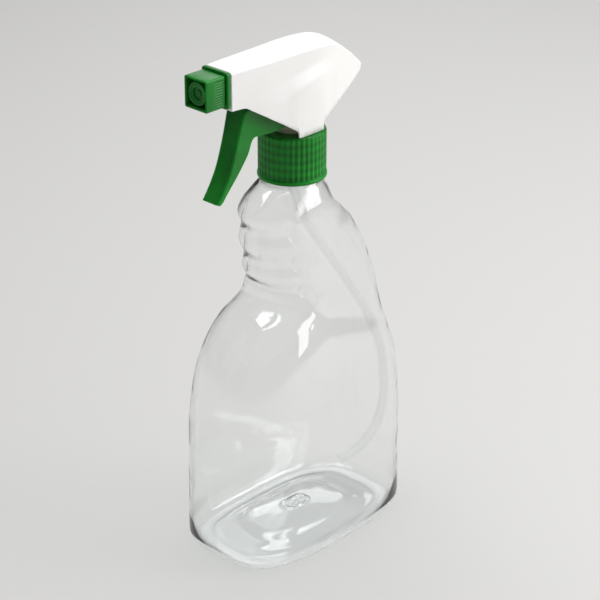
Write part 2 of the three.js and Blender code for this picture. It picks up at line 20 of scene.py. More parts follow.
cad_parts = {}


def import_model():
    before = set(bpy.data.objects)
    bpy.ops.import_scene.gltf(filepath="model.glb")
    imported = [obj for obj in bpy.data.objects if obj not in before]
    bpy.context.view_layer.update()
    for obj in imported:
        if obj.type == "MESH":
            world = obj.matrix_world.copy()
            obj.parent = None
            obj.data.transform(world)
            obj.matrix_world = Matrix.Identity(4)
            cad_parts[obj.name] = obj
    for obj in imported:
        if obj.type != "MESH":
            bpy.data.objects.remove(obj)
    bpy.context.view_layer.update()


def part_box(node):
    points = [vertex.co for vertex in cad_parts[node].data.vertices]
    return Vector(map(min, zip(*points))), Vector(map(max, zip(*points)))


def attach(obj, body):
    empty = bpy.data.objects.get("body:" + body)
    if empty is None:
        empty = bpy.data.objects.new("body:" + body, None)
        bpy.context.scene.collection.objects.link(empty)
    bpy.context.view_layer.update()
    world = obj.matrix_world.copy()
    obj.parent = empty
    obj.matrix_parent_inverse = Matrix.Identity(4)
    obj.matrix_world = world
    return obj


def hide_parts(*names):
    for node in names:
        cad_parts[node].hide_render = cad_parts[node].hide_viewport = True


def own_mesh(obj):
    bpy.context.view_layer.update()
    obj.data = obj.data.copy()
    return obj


LOG = logging.getLogger("spray_bottle")
MM = 0.001
TURN = 2 * math.pi

# Shared sizes of the head, with heights above the closure's lower edge
CYLINDER_Z = 36.3
BARREL_Z = 59.8
PIVOT_X, PIVOT_Z = -20.0, 53.0
THREAD_PITCH = 4.24

Point = tuple[float, float]
Outline = list[Point]
Profile = Sequence[Point]
Ring = list[tuple[float, float, float]]


# Small tools


def linear(code: str) -> tuple[float, float, float, float]:
    """Turn an sRGB hex colour into linear red, green, blue and a full alpha.

    Args:
        code: The colour as six hex digits.

    Returns:
        Four linear values.
    """
    values = [int(code[i : i + 2], 16) / 255 for i in (0, 2, 4)]
    red, green, blue = (v / 12.92 if v <= 0.04045 else ((v + 0.055) / 1.055) ** 2.4 for v in values)
    return red, green, blue, 1.0


def smoothstep(low: float, high: float, value: float) -> float:
    """Ease from 0 at low to 1 at high."""
    t = min(1.0, max(0.0, (value - low) / (high - low)))
    return t * t * (3 - 2 * t)


def hermite(rows: Sequence[Sequence[float]], at: float) -> list[float]:
    """Read a table of stations along its first column by a smooth curve through every row.

    Args:
        rows: Stations in rising order of their first number.
        at: Where to read, in the first column's units.

    Returns:
        The other columns' values there, never outside the two rows they lie between.
    """
    last = len(rows) - 1
    k = max(i for i in range(last) if i == 0 or rows[i][0] <= at)
    span = rows[k + 1][0] - rows[k][0]
    t = min(1.0, max(0.0, (at - rows[k][0]) / span))

    def slope(i: int, column: int) -> float:
        """The curve's slope at a row, flat at both ends.

        Args:
            i: The row.
            column: The column.

        Returns:
            The slope.
        """
        if i <= 0 or i >= last:
            return 0.0
        return (rows[i + 1][column] - rows[i - 1][column]) / (rows[i + 1][0] - rows[i - 1][0])

    weights = (2 * t**3 - 3 * t**2 + 1, t**3 - 2 * t**2 + t, 3 * t**2 - 2 * t**3, t**3 - t**2)
    values = []
    for c in range(1, len(rows[0])):
        here, after = rows[k][c], rows[k + 1][c]
        value = (
            weights[0] * here
            + weights[1] * span * slope(k, c)
            + weights[2] * after
            + weights[3] * span * slope(k + 1, c)
        )
        values.append(min(max(value, min(here, after)), max(here, after)))
    return values


def filleted(points: Profile, radius: float, steps: int = 5, closed: bool = True) -> Outline:
    """Round the corners of an outline with arcs.

    Args:
        points: The outline's corners.
        radius: Largest fillet radius; short sides get smaller ones.
        steps: Segments in each arc.
        closed: False keeps the two end points as they are.

    Returns:
        The rounded outline.
    """
    count = len(points)
    nearly_straight = math.radians(172)
    result: Outline = []
    for i, point in enumerate(points):
        if not closed and i in (0, count - 1):
            result.append(tuple(point))
            continue
        corner = Vector(point)
        back = Vector(points[i - 1]) - corner
        ahead = Vector(points[(i + 1) % count]) - corner
        angle = back.angle(ahead)
        if angle > nearly_straight:
            result.append(tuple(corner))
            continue
        reach = min(radius / math.tan(angle / 2), 0.45 * back.length, 0.45 * ahead.length)
        start = corner + back.normalized() * reach
        end = corner + ahead.normalized() * reach
        for k in range(steps + 1):
            t = k / steps
            result.append(tuple((1 - t) ** 2 * start + 2 * t * (1 - t) * corner + t * t * end))
    return result


def circle(radius: float, count: int, z: float) -> Ring:
    """A ring of points about Z."""
    angles = [TURN * i / count for i in range(count)]
    return [(radius * math.cos(a), radius * math.sin(a), z) for a in angles]


@dataclass
class MeshBuilder:
    """Collects skins in millimetres and turns them into one Blender object."""

    points: list[tuple[float, float, float]] = field(default_factory=list)
    faces: list[tuple[int, ...]] = field(default_factory=list)

    def skin(self, rings: Sequence[Ring], wrap: bool = True, loop: bool = False, ends: bool = False) -> None:
        """Join rings of equal length with quads.

        Args:
            rings: The rings in order.
            wrap: True closes each ring on itself.
            loop: True joins the last ring to the first.
            ends: True closes both ends with a fan.
        """
        base = len(self.points)
        count = len(rings[0])
        for ring in rings:
            self.points.extend(ring)
        spans = len(rings) if loop else len(rings) - 1
        for i in range(spans):
            row = base + i * count
            after = base + ((i + 1) % len(rings)) * count
            for j in range(count if wrap else count - 1):
                k = (j + 1) % count
                self.faces.append((row + j, row + k, after + k, after + j))
        if ends:
            for ring_index in (0, len(rings) - 1):
                start = base + ring_index * count
                middle = np.mean(self.points[start : start + count], axis=0)
                self.points.append(tuple(float(v) for v in middle))
                hub = len(self.points) - 1
                self.faces.extend((start + j, start + (j + 1) % count, hub) for j in range(count))

    def turned(self, profile: Profile, sides: int = 96, matrix: Matrix | None = None) -> None:
        """Turn a profile of (radius, height) about Z, then move it by a matrix.

        Args:
            profile: A closed outline, or one that starts and ends on the axis.
            sides: Segments round the axis.
            matrix: Where the turned shape goes.
        """
        on_axis = profile[0][0] == 0 and profile[-1][0] == 0
        body = profile[1:-1] if on_axis else profile
        rings = [circle(r, sides, z) for r, z in body]
        if matrix is not None:
            rings = [[tuple(matrix @ Vector(p)) for p in ring] for ring in rings]
        if on_axis:
            poles = [Vector((0, 0, profile[0][1])), Vector((0, 0, profile[-1][1]))]
            if matrix is not None:
                poles = [matrix @ p for p in poles]
            base = len(self.points)
            self.skin(rings)
            last = base + (len(rings) - 1) * sides
            self.points.extend(tuple(p) for p in poles)
            low, high = len(self.points) - 2, len(self.points) - 1
            self.faces.extend((base + (j + 1) % sides, base + j, low) for j in range(sides))
            self.faces.extend((last + j, last + (j + 1) % sides, high) for j in range(sides))
        else:
            self.skin(rings, loop=True)

    def bar(self, low: Sequence[float], high: Sequence[float], radius: float = 0.5) -> None:
        """A box between two corners with rounded upright edges and chamfered ends.

        Args:
            low: Lowest corner.
            high: Highest corner.
            radius: Radius of the upright edges.
        """
        corners = [(low[0], low[1]), (high[0], low[1]), (high[0], high[1]), (low[0], high[1])]
        middle = Vector(((low[0] + high[0]) / 2, (low[1] + high[1]) / 2))
        half = ((high[0] - low[0]) / 2, (high[1] - low[1]) / 2)
        outline = filleted(corners, radius, 4)
        cut = 0.3
        rings = []
        for inset, z in ((cut, low[2]), (0, low[2] + cut), (0, high[2] - cut), (cut, high[2])):
            wide, deep = 1 - inset / half[0], 1 - inset / half[1]
            rings.append([
                (middle.x + (x - middle.x) * wide, middle.y + (y - middle.y) * deep, z) for x, y in outline
            ])
        self.skin(rings, ends=True)

    def build(self, name: str, lift: float = 0.0, sharp: float = 40.0) -> bpy.types.Object:
        """Make the object, in metres, with outward faces and smooth shading.

        Args:
            name: The piece's name.
            lift: Millimetres added to every height.
            sharp: Edges above this angle in degrees stay sharp.

        Returns:
            The new object.
        """
        mesh = bpy.data.meshes.new(name)
        scaled = [(x * MM, y * MM, (z + lift) * MM) for x, y, z in self.points]
        mesh.from_pydata(scaled, [], self.faces)
        mesh.validate()
        obj = bpy.data.objects.new(name, mesh)
        bpy.context.scene.collection.objects.link(obj)
        settle(obj, sharp)
        return obj


def settle(obj: bpy.types.Object, sharp: float) -> None:
    """Weld an object's doubled points, turn its faces outwards and shade it smooth up to an angle.

    Args:
        obj: The mesh object.
        sharp: Edges above this angle in degrees stay sharp.
    """
    bm = bmesh.new()
    bm.from_mesh(obj.data)
    bmesh.ops.remove_doubles(bm, verts=bm.verts, dist=1e-6)
    bmesh.ops.dissolve_degenerate(bm, edges=bm.edges, dist=1e-7)
    bmesh.ops.recalc_face_normals(bm, faces=bm.faces)
    bm.to_mesh(obj.data)
    bm.free()
    obj.data.shade_smooth()
    obj.data.set_sharp_from_angle(angle=math.radians(sharp))


def applied(obj: bpy.types.Object) -> bpy.types.Object:
    """Turn an object's modifiers into its mesh.

    Args:
        obj: The object.

    Returns:
        The same object.
    """
    graph = bpy.context.evaluated_depsgraph_get()
    mesh = bpy.data.meshes.new_from_object(obj.evaluated_get(graph))
    obj.modifiers.clear()
    obj.data = mesh
    return obj


def carved(obj: bpy.types.Object, cutter: bpy.types.Object) -> bpy.types.Object:
    """Cut one object's volume out of another and remove the cutter.

    Args:
        obj: The object to cut.
        cutter: The volume to take away.

    Returns:
        The cut object.
    """
    cut = obj.modifiers.new("cut", "BOOLEAN")
    cut.operation = "DIFFERENCE"
    cut.solver = "EXACT"
    cut.object = cutter
    applied(obj)
    bpy.data.objects.remove(cutter)
    return obj


def along_x(z: float) -> Matrix:
    """A matrix that lays a shape turned about Z along +X at a height."""
    return Matrix.Translation((0, 0, z)) @ Matrix.Rotation(math.pi / 2, 4, "Y")


def across_pivot() -> Matrix:
    """A matrix that lays a shape turned about Z along Y through the trigger's pivot."""
    return Matrix.Translation((PIVOT_X, 0, PIVOT_Z)) @ Matrix.Rotation(math.pi / 2, 4, "X")


# Finishes


def add(
    tree: bpy.types.NodeTree, kind: str, links: dict[str | int, object] | None = None, **settings: object
) -> bpy.types.Node:
    """Add a shader node with its settings and its links.

    Args:
        tree: The material's node tree.
        kind: The node's type name, without the ShaderNode prefix.
        links: Input name or number to the output socket that feeds it, or to a plain value.
        **settings: Attributes set on the node.

    Returns:
        The new node.
    """
    node = tree.nodes.new("ShaderNode" + kind)
    for key, value in settings.items():
        setattr(node, key, value)
    for key, value in (links or {}).items():
        socket = node.inputs[key]
        if isinstance(value, bpy.types.NodeSocket):
            tree.links.new(value, socket)
        else:
            socket.default_value = value
    return node


def new_material(name: str) -> tuple[bpy.types.Material, bpy.types.NodeTree]:
    """Make an empty node material.

    Args:
        name: The material's name.

    Returns:
        The material and its tree.
    """
    material = bpy.data.materials.new(name)
    material.use_nodes = True
    material.node_tree.nodes.clear()
    return material, material.node_tree


@dataclass(frozen=True)
class MouldedPlastic:
    """Injection-moulded polyolefin: a fine sparked skin, faint flow marks and a soft broad highlight.

    The sparked skin breaks up the highlight, the flow marks give slow drifts of tone, and the handling
    scuffs dull the gloss in patches. Where a band pitch is set, faint bands of painted light and shade stand
    for the light that shines through the wall over a thread.
    """

    name: str
    deep: str
    face: str
    roughness: float = 0.34
    grain_mm: float = 0.45
    grain_depth: float = 0.06
    scuff_mm: float = 7.0
    flow_mm: float = 22.0
    glow: float = 0.0
    glow_mm: float = 1.2
    bleed: tuple[float, float, float] = (1.0, 1.0, 1.0)
    specular: float = 0.5
    # pitch of painted bands of light and shade for light through a thin wall over a thread; 0 for none
    painted_band_mm: float = 0.0

    def material(self) -> bpy.types.Material:
        """Build the node material.

        Returns:
            The finished material.
        """
        material, tree = new_material(self.name)
        place = add(tree, "TexCoord").outputs["Object"]
        flow = add(tree, "TexNoise", {"Vector": place, "Scale": 1 / (self.flow_mm * MM), "Detail": 2.0})
        tone = add(tree, "ValToRGB", {"Fac": flow.outputs["Fac"]})
        tone.color_ramp.elements[0].position = 0.35
        tone.color_ramp.elements[0].color = linear(self.deep)
        tone.color_ramp.elements[1].position = 0.65
        tone.color_ramp.elements[1].color = linear(self.face)
        colour = tone.outputs["Color"]
        # painted light and shade: lighter and darker bands at the thread's pitch stand for light through the
        # wall and the thread's shadow
        if self.painted_band_mm:
            scale = TURN / (20 * self.painted_band_mm * MM)
            winding = {"Vector": place, "Scale": scale, "Distortion": 0.6}
            painted_band = add(tree, "TexWave", winding, bands_direction="Z")
            shade = add(tree, "MapRange", {"Value": painted_band.outputs["Fac"], "To Min": 0.8, "To Max": 1.25})
            mixed = {0: colour, "Scale": shade.outputs["Result"]}
            colour = add(tree, "VectorMath", mixed, operation="SCALE").outputs["Vector"]
        scuff = add(tree, "TexNoise", {
            "Vector": place, "Scale": 1 / (self.scuff_mm * MM), "Detail": 5.0, "Roughness": 0.65,
        })
        gloss = add(tree, "MapRange", {
            "Value": scuff.outputs["Fac"], "From Min": 0.3, "From Max": 0.75,
            "To Min": self.roughness - 0.05, "To Max": self.roughness + 0.09,
        })
        grain = add(tree, "TexNoise", {"Vector": place, "Scale": 1 / (self.grain_mm * MM), "Detail": 2.0})
        bump = add(tree, "Bump", {
            "Height": grain.outputs["Fac"], "Strength": self.grain_depth, "Distance": 0.1 * MM,
        })
        shader = add(tree, "BsdfPrincipled", {
            "Base Color": colour, "Roughness": gloss.outputs["Result"], "Normal": bump.outputs["Normal"],
            "IOR": 1.49, "Subsurface Weight": self.glow, "Subsurface Scale": self.glow_mm * MM,
            "Subsurface Radius": self.bleed, "Specular IOR Level": self.specular,
        })
        add(tree, "OutputMaterial", {"Surface": shader.outputs["BSDF"]})
        return material


@dataclass(frozen=True)
class BlownPet:
    """Stretch-blown clear PET: a thin glossy wall whose slow waviness bends reflections and edges."""

    name: str = "blown_clear_pet"
    tint: str = "fdfefe"
    shade: str = "fafbfb"
    wave_mm: float = 16.0
    haze_mm: float = 5.0

    def material(self) -> bpy.types.Material:
        """Build the node material: clear glass-like wall that lets lamps through for its shadow.

        Returns:
            The finished material.
        """
        material, tree = new_material(self.name)
        place = add(tree, "TexCoord").outputs["Object"]
        wave = add(tree, "TexNoise", {"Vector": place, "Scale": 1 / (self.wave_mm * MM), "Detail": 1.5})
        bump = add(tree, "Bump", {"Height": wave.outputs["Fac"], "Strength": 0.35, "Distance": 0.6 * MM})
        haze = add(tree, "TexNoise", {"Vector": place, "Scale": 1 / (self.haze_mm * MM), "Detail": 4.0})
        rough = add(tree, "MapRange", {"Value": haze.outputs["Fac"], "To Min": 0.01, "To Max": 0.06})
        wall = add(tree, "BsdfPrincipled", {
            "Base Color": linear(self.tint), "Roughness": rough.outputs["Result"],
            "Normal": bump.outputs["Normal"], "IOR": 1.57, "Transmission Weight": 1.0,
        })
        clear = add(tree, "BsdfTransparent", {"Color": linear(self.shade)})
        path = add(tree, "LightPath")
        soft = {0: path.outputs["Is Shadow Ray"], 1: path.outputs["Is Diffuse Ray"]}
        share = add(tree, "Math", soft, operation="MAXIMUM")
        shader = add(tree, "MixShader", {
            0: share.outputs["Value"], 1: wall.outputs["BSDF"], 2: clear.outputs["BSDF"],
        })
        add(tree, "OutputMaterial", {"Surface": shader.outputs["Shader"]})
        return material


@dataclass(frozen=True)
class ExtrudedTube:
    """Extruded natural polyethylene: milky and see-through, with faint draw lines along it."""

    name: str = "extruded_natural_pe"
    milk: str = "eef0ef"
    clear: str = "fefefe"
    line_mm: float = 1.5

    def material(self) -> bpy.types.Material:
        """Build the node material.

        Returns:
            The finished material.
        """
        material, tree = new_material(self.name)
        place = add(tree, "TexCoord").outputs["Object"]
        lines = add(tree, "TexNoise", {"Vector": place, "Scale": 1 / (self.line_mm * MM), "Detail": 3.0})
        bump = add(tree, "Bump", {"Height": lines.outputs["Fac"], "Strength": 0.1, "Distance": 0.1 * MM})
        rough = add(tree, "MapRange", {"Value": lines.outputs["Fac"], "To Min": 0.2, "To Max": 0.34})
        body = add(tree, "BsdfPrincipled", {
            "Base Color": linear(self.milk), "Roughness": rough.outputs["Result"],
            "Normal": bump.outputs["Normal"], "IOR": 1.51,
        })
        clear = add(tree, "BsdfTransparent", {"Color": linear(self.clear)})
        edge = add(tree, "LayerWeight", {"Blend": 0.35})
        share = add(tree, "MapRange", {"Value": edge.outputs["Facing"], "To Min": 0.02, "To Max": 0.28})
        shader = add(tree, "MixShader", {
            0: share.outputs["Result"], 1: clear.outputs["BSDF"], 2: body.outputs["BSDF"],
        })
        add(tree, "OutputMaterial", {"Surface": shader.outputs["Shader"]})
        return material


@dataclass(frozen=True)
class DrawnSteel:
    """Drawn stainless wire: bright, with fine lengthwise die marks."""

    name: str = "drawn_stainless_steel"
    bright: str = "c9cbcd"
    mark_mm: float = 0.4

    def material(self) -> bpy.types.Material:
        """Build the node material.

        Returns:
            The finished material.
        """
        material, tree = new_material(self.name)
        place = add(tree, "TexCoord").outputs["Object"]
        marks = add(tree, "TexNoise", {"Vector": place, "Scale": 1 / (self.mark_mm * MM), "Detail": 3.0})
        rough = add(tree, "MapRange", {"Value": marks.outputs["Fac"], "To Min": 0.18, "To Max": 0.36})
        bump = add(tree, "Bump", {"Height": marks.outputs["Fac"], "Strength": 0.12, "Distance": 0.05 * MM})
        shader = add(tree, "BsdfPrincipled", {
            "Base Color": linear(self.bright), "Metallic": 1.0, "Roughness": rough.outputs["Result"],
            "Normal": bump.outputs["Normal"],
        })
        add(tree, "OutputMaterial", {"Surface": shader.outputs["BSDF"]})
        return material


@dataclass(frozen=True)
class PaintedSweep:
    """Matt painted studio sweep: pale, with a faint roller texture."""

    name: str = "matt_painted_sweep"
    tone: str = "d0cfcd"

    def material(self) -> bpy.types.Material:
        """Build the node material.

        Returns:
            The finished material.
        """
        material, tree = new_material(self.name)
        place = add(tree, "TexCoord").outputs["Object"]
        roller = add(tree, "TexNoise", {"Vector": place, "Scale": 60.0, "Detail": 3.0})
        bump = add(tree, "Bump", {"Height": roller.outputs["Fac"], "Strength": 0.05, "Distance": 0.2 * MM})
        rough = add(tree, "MapRange", {"Value": roller.outputs["Fac"], "To Min": 0.7, "To Max": 0.85})
        shader = add(tree, "BsdfPrincipled", {
            "Base Color": linear(self.tone), "Roughness": rough.outputs["Result"],
            "Normal": bump.outputs["Normal"],
        })
        add(tree, "OutputMaterial", {"Surface": shader.outputs["BSDF"]})
        return material


class Finish(Enum):
    """The object's finishes. Each belongs to one material slot of the record, and two slots hold two."""

    CLEAR_PET = "clear_pet"
    GREEN_PP = "green_pp"
    GREEN_CAP_PP_PAINTED_LIGHT = "green_cap_pp"
    WHITE_PP = "white_pp"
    CREAM_PP = "cream_pp"
    NATURAL_PE = "natural_pe"
    TUBE_PE = "tube_pe"
    SOFT_PE = "soft_pe"
    STEEL = "steel"

    @property
    def slot(self) -> str:
        """The record's slot that this finish belongs to."""
        shared = {Finish.TUBE_PE: Finish.NATURAL_PE, Finish.GREEN_CAP_PP_PAINTED_LIGHT: Finish.GREEN_PP}
        return shared.get(self, self).value


# light runs further in green pigment's own colour than in red or blue
GREEN_BLEED = (0.3, 1.0, 0.25)
MAKERS: dict[Finish, Callable[[], bpy.types.Material]] = {
    Finish.CLEAR_PET: BlownPet().material,
    # deep glossy green that glows a little at thin edges
    Finish.GREEN_PP: MouldedPlastic(
        "moulded_green_pp", "046a17", "07821f", 0.34, glow=0.7, glow_mm=3.5, bleed=GREEN_BLEED, specular=0.32,
    ).material,
    # the same green painted lighter for the light that comes through the cap's thin wall, with painted bands
    # of light and shade along the thread
    Finish.GREEN_CAP_PP_PAINTED_LIGHT: MouldedPlastic(
        "moulded_green_cap_pp_painted_light", "047219", "078c21", 0.36, glow=0.7, glow_mm=3.5, bleed=GREEN_BLEED,
        specular=0.3, painted_band_mm=THREAD_PITCH,
    ).material,
    # clean white with almost no grain
    Finish.WHITE_PP: MouldedPlastic(
        "moulded_white_pp", "f1f0ee", "f6f5f3", 0.34, grain_depth=0.02, flow_mm=30, glow=0.1,
    ).material,
    # dull cream of an unpigmented moulding
    Finish.CREAM_PP: MouldedPlastic("moulded_cream_pp", "d9d2b8", "e4dfca", 0.42, glow=0.1).material,
    # milky and slightly waxy
    Finish.NATURAL_PE: MouldedPlastic("moulded_natural_pe", "dfe1de", "eceeeb", 0.4, glow=0.15).material,
    Finish.TUBE_PE: ExtrudedTube().material,
    # matt grey-white of a soft seal
    Finish.SOFT_PE: MouldedPlastic("soft_seal_pe", "c9c9c4", "d8d8d3", 0.6, grain_mm=0.8).material,
    Finish.STEEL: DrawnSteel().material,
}


@dataclass
class Workshop:
    """Makes each finish once and dresses the finished pieces."""

    made: dict[Finish, bpy.types.Material] = field(default_factory=dict)

    def material(self, finish: Finish) -> bpy.types.Material:
        """The material of a finish, made once.

        Args:
            finish: The finish.

        Returns:
            Its material.
        """
        if finish not in self.made:
            self.made[finish] = MAKERS[finish]()
        return self.made[finish]

    def dress(self, piece: bpy.types.Object, node: str, body: str, finish: Finish) -> None:
        """Give a piece its finish, its body and the node it stands for.

        Args:
            piece: The finished piece.
            node: The frame's node that it replaces.
            body: The frame's body that carries it.
            finish: Its finish.
        """
        piece.data.materials.clear()
        piece.data.materials.append(self.material(finish))
        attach(piece, body)
        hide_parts(node)
        LOG.info("%s stands for %s on %s: %d faces", piece.name, node, body, len(piece.data.polygons))


# Bottle


@dataclass(frozen=True)
class Thread:
    """A helical ridge: where it starts, how far it winds and its ridge's shape."""

    low: float
    turns: float
    pitch: float = THREAD_PITCH
    root_width: float = 2.0
    tip_width: float = 1.1
    runout: float = 0.12

    def ridge(self, angle: float, z: float) -> float:
        """How much of the ridge's height stands at an angle and height.

        Args:
            angle: Angle round the axis, from 0 to a full turn.
            z: Height.

        Returns:
            0 off the ridge, 1 on its crest.
        """
        best = 0.0
        for lap in range(math.ceil(self.turns)):
            turn = lap + angle / TURN
            if turn <= self.turns:
                distance = abs(z - self.low - turn * self.pitch)
                rise = 1 - smoothstep(self.tip_width / 2, self.root_width / 2 + 0.1, distance)
                end = 1 - smoothstep(self.turns - self.runout, self.turns, turn)
                fade = smoothstep(0, self.runout, turn) * end
                best = max(best, rise * fade)
        return best


@dataclass
class Bottle:
    """Clear bottle: oval body, sloping shoulder, grip with three finger grooves and a threaded neck."""

    sides: int = 176
    closure_z: float = 204.0
    top: float = 203.0
    push_up: float = 9.0
    neck_r: float = 12.6
    bore_r: float = 10.8
    thread_r: float = 13.7
    neck_height: float = 19.0
    thread: Thread = Thread(low=8.6, turns=1.5)

    # the wall, and how much heavier it is towards the neck and at the heel
    wall: float = 0.7
    wall_neck: float = 1.5
    wall_heel: float = 0.8
    heel_fade: Point = (3.0, 17.0)
    neck_fade: Point = (186.0, 201.0)

    # heights over which the grip's relief rises and fades
    grip_rise: Point = (137.0, 147.0)
    grip_fade: Point = (189.0, 196.0)

    # finger grooves: their spacing, depth and place below the closure
    grip_pitch: float = 18.0
    grip_wave: float = 1.2
    groove_drop: float = 31.0

    # the grip's rear edge: its place at a height, its lean and waves, the step down to the grip,
    # the bead on it and the share of that bead on the inner skin
    edge_x: float = -13.5
    edge_z: float = 162.0
    edge_lean: float = 0.155
    edge_wave: float = 1.7
    edge_blend: float = 1.5
    step: float = 1.0
    bead: float = 0.8
    bead_width: float = 1.3
    inner_relief: float = -0.4

    # height at x = 0, front x, rear x, half width, roundness, widest x, slope along X
    outline = (
        (0, -53, 58, 32.6, 3.2, 2, 0),
        (1.5, -56.5, 61.2, 35.4, 3.2, 2, 0),
        (5, -58.8, 63.4, 37, 3.2, 2, 0),
        (12, -59.5, 64.2, 37.6, 3.1, 1, 0),
        (34, -59.5, 64.5, 37.6, 3, 1, 0),
        (55, -59.5, 64.5, 37, 3, 1, -0.01),
        (74, -59, 64.4, 36.2, 3, 1, -0.05),
        (94, -55.3, 63.4, 34.7, 3, 2, -0.12),
        (109, -48.5, 62.4, 32.6, 2.9, 3, -0.2),
        (122, -37.5, 60.6, 29.4, 2.8, 4, -0.28),
        (132, -25.5, 59.4, 26.2, 2.6, 2, -0.3),
        (140, -23.6, 57.4, 24.6, 2.4, 2, -0.26),
        (146, -24.3, 54.2, 24, 2.4, 2, -0.16),
        (155, -26, 48.4, 23, 2.4, 1, -0.06),
        (164, -27.6, 42.8, 22.1, 2.4, 0, 0),
        (174, -29.4, 36, 21.3, 2.4, -2, 0),
        (182, -30.9, 28.4, 20.4, 2.3, -3, 0),
        (188, -32, 22.4, 19.8, 2.3, -2, 0),
        (193, -31.4, 19.4, 19, 2.2, 0, 0),
        (197, -26.9, 18.4, 17.6, 2.1, 0, 0),
        (200.5, -21.3, 16.9, 16.1, 2, 0, 0),
        (203, -16, 15, 14.7, 2, 0, 0),
    )

    def ring(
        self, z: float, inset: float = 0.0, lift: float = 0.0, scale: float = 1.0, relief: float = 1.0
    ) -> Ring:
        """One ring of the wall.

        Args:
            z: Height of the section at x = 0.
            inset: How far the ring is drawn in.
            lift: How far it is moved up.
            scale: Share of the section's size, for the rings under the foot.
            relief: Share of the grip's raised edge, less on the inner skin, so that the edge bends light.

        Returns:
            The ring's points.
        """
        front, rear, half, power, mid, tilt = hermite(self.outline, z)
        inset *= 0.9 if z < 3 else 1
        grip = smoothstep(*self.grip_rise, z) * (1 - smoothstep(*self.grip_fade, z))
        swell = math.cos(TURN * (z - self.closure_z + self.groove_drop) / self.grip_pitch)
        edge = self.edge_x - self.edge_lean * (z - self.edge_z) + self.edge_wave * swell
        points = []
        for i in range(self.sides):
            c, s = math.cos(TURN * i / self.sides), math.sin(TURN * i / self.sides)
            reach = math.copysign(abs(c) ** (2 / power), c)
            length = (mid - front) if c < 0 else (rear - mid)
            x = mid + scale * reach * (length - inset)
            y = scale * math.copysign(abs(s) ** (2 / power), s) * (half - inset)
            off_axis = min(1, abs(y) / 3)
            pad = grip * (1 - smoothstep(edge - self.edge_blend, edge + self.edge_blend, x)) * off_axis
            x -= self.grip_wave * grip * swell * smoothstep(0.12, 0.62, -reach)
            bead = self.bead * grip * math.exp(-(((x - edge) / self.bead_width) ** 2)) * off_axis
            y -= math.copysign(self.step * pad - relief * bead, y)
            points.append((x, y, z + tilt * x + lift))
        return points

    def skin(self, z: float) -> float:
        """The wall's thickness at a height: heavier at the heel and towards the neck.

        Args:
            z: Height.

        Returns:
            The thickness.
        """
        heel = self.wall_heel * (1 - smoothstep(*self.heel_fade, z))
        return self.wall + heel + (self.wall_neck - self.wall) * smoothstep(*self.neck_fade, z)

    def neck(self) -> list[Ring]:
        """The neck's rings: up the threaded outside, over the lip and down the bore.

        Returns:
            The rings.
        """
        rings = []
        low = self.closure_z
        for k in range(77):
            z = 0.3 + k * (self.neck_height - 0.8) / 76
            radii = [
                self.neck_r + (self.thread_r - self.neck_r) * self.thread.ridge(TURN * i / self.sides, z)
                for i in range(self.sides)
            ]
            rings.append([
                (r * math.cos(TURN * i / self.sides), r * math.sin(TURN * i / self.sides), low + z)
                for i, r in enumerate(radii)
            ])
        top = low + self.neck_height
        outer, bore = self.neck_r, self.bore_r
        lip = [(outer - 0.15, -0.15), (outer - 0.5, 0), (bore + 0.3, 0), (bore, -0.3)]
        rings += [circle(r, self.sides, top + dz) for r, dz in lip]
        rings += [circle(self.bore_r, self.sides, z) for z in (top - 4, top - 9, top - 14, low - 0.5)]
        return rings

    def under(self, lift: float) -> list[Ring]:
        """The push-up's rings, from its centre out, with a raised gate ring at the centre.

        Args:
            lift: How far above the outer skin they lie.

        Returns:
            The rings.
        """
        rings = []
        for k in np.linspace(0.02, 0.89, 46):
            rise = self.push_up * (1 - (k / 0.9) ** 2)
            gate = 0.9 * math.exp(-(((k - 0.13) / 0.022) ** 2)) + 0.6 * math.exp(-(((k - 0.05) / 0.018) ** 2))
            step = -1.1 * smoothstep(0.5, 0.62, k) * (1 - smoothstep(0.74, 0.89, k))
            rings.append(self.ring(0, 0, rise + gate + step + lift, k))
        return rings

    def build(self) -> bpy.types.Object:
        """Build the bottle as one closed wall.

        Returns:
            The bottle.
        """
        heights = [*np.linspace(0, 12, 14), *np.linspace(15, 130, 60), *np.linspace(131, self.top, 96)]
        outer = [self.ring(z) for z in heights]
        inner_heights = [z for z in reversed(heights) if 0.5 < z < self.top - 1]
        inner = [
            self.ring(z, self.skin(z), 0.75 - 1.35 * z / self.top, relief=self.inner_relief)
            for z in inner_heights
        ]
        builder = MeshBuilder()
        rings = [*self.under(0), *outer, *self.neck(), *inner, *reversed(self.under(self.wall + 0.2))]
        builder.skin(rings, ends=True)
        return builder.build("clear_bottle", sharp=60)


# Closure and small turned pieces


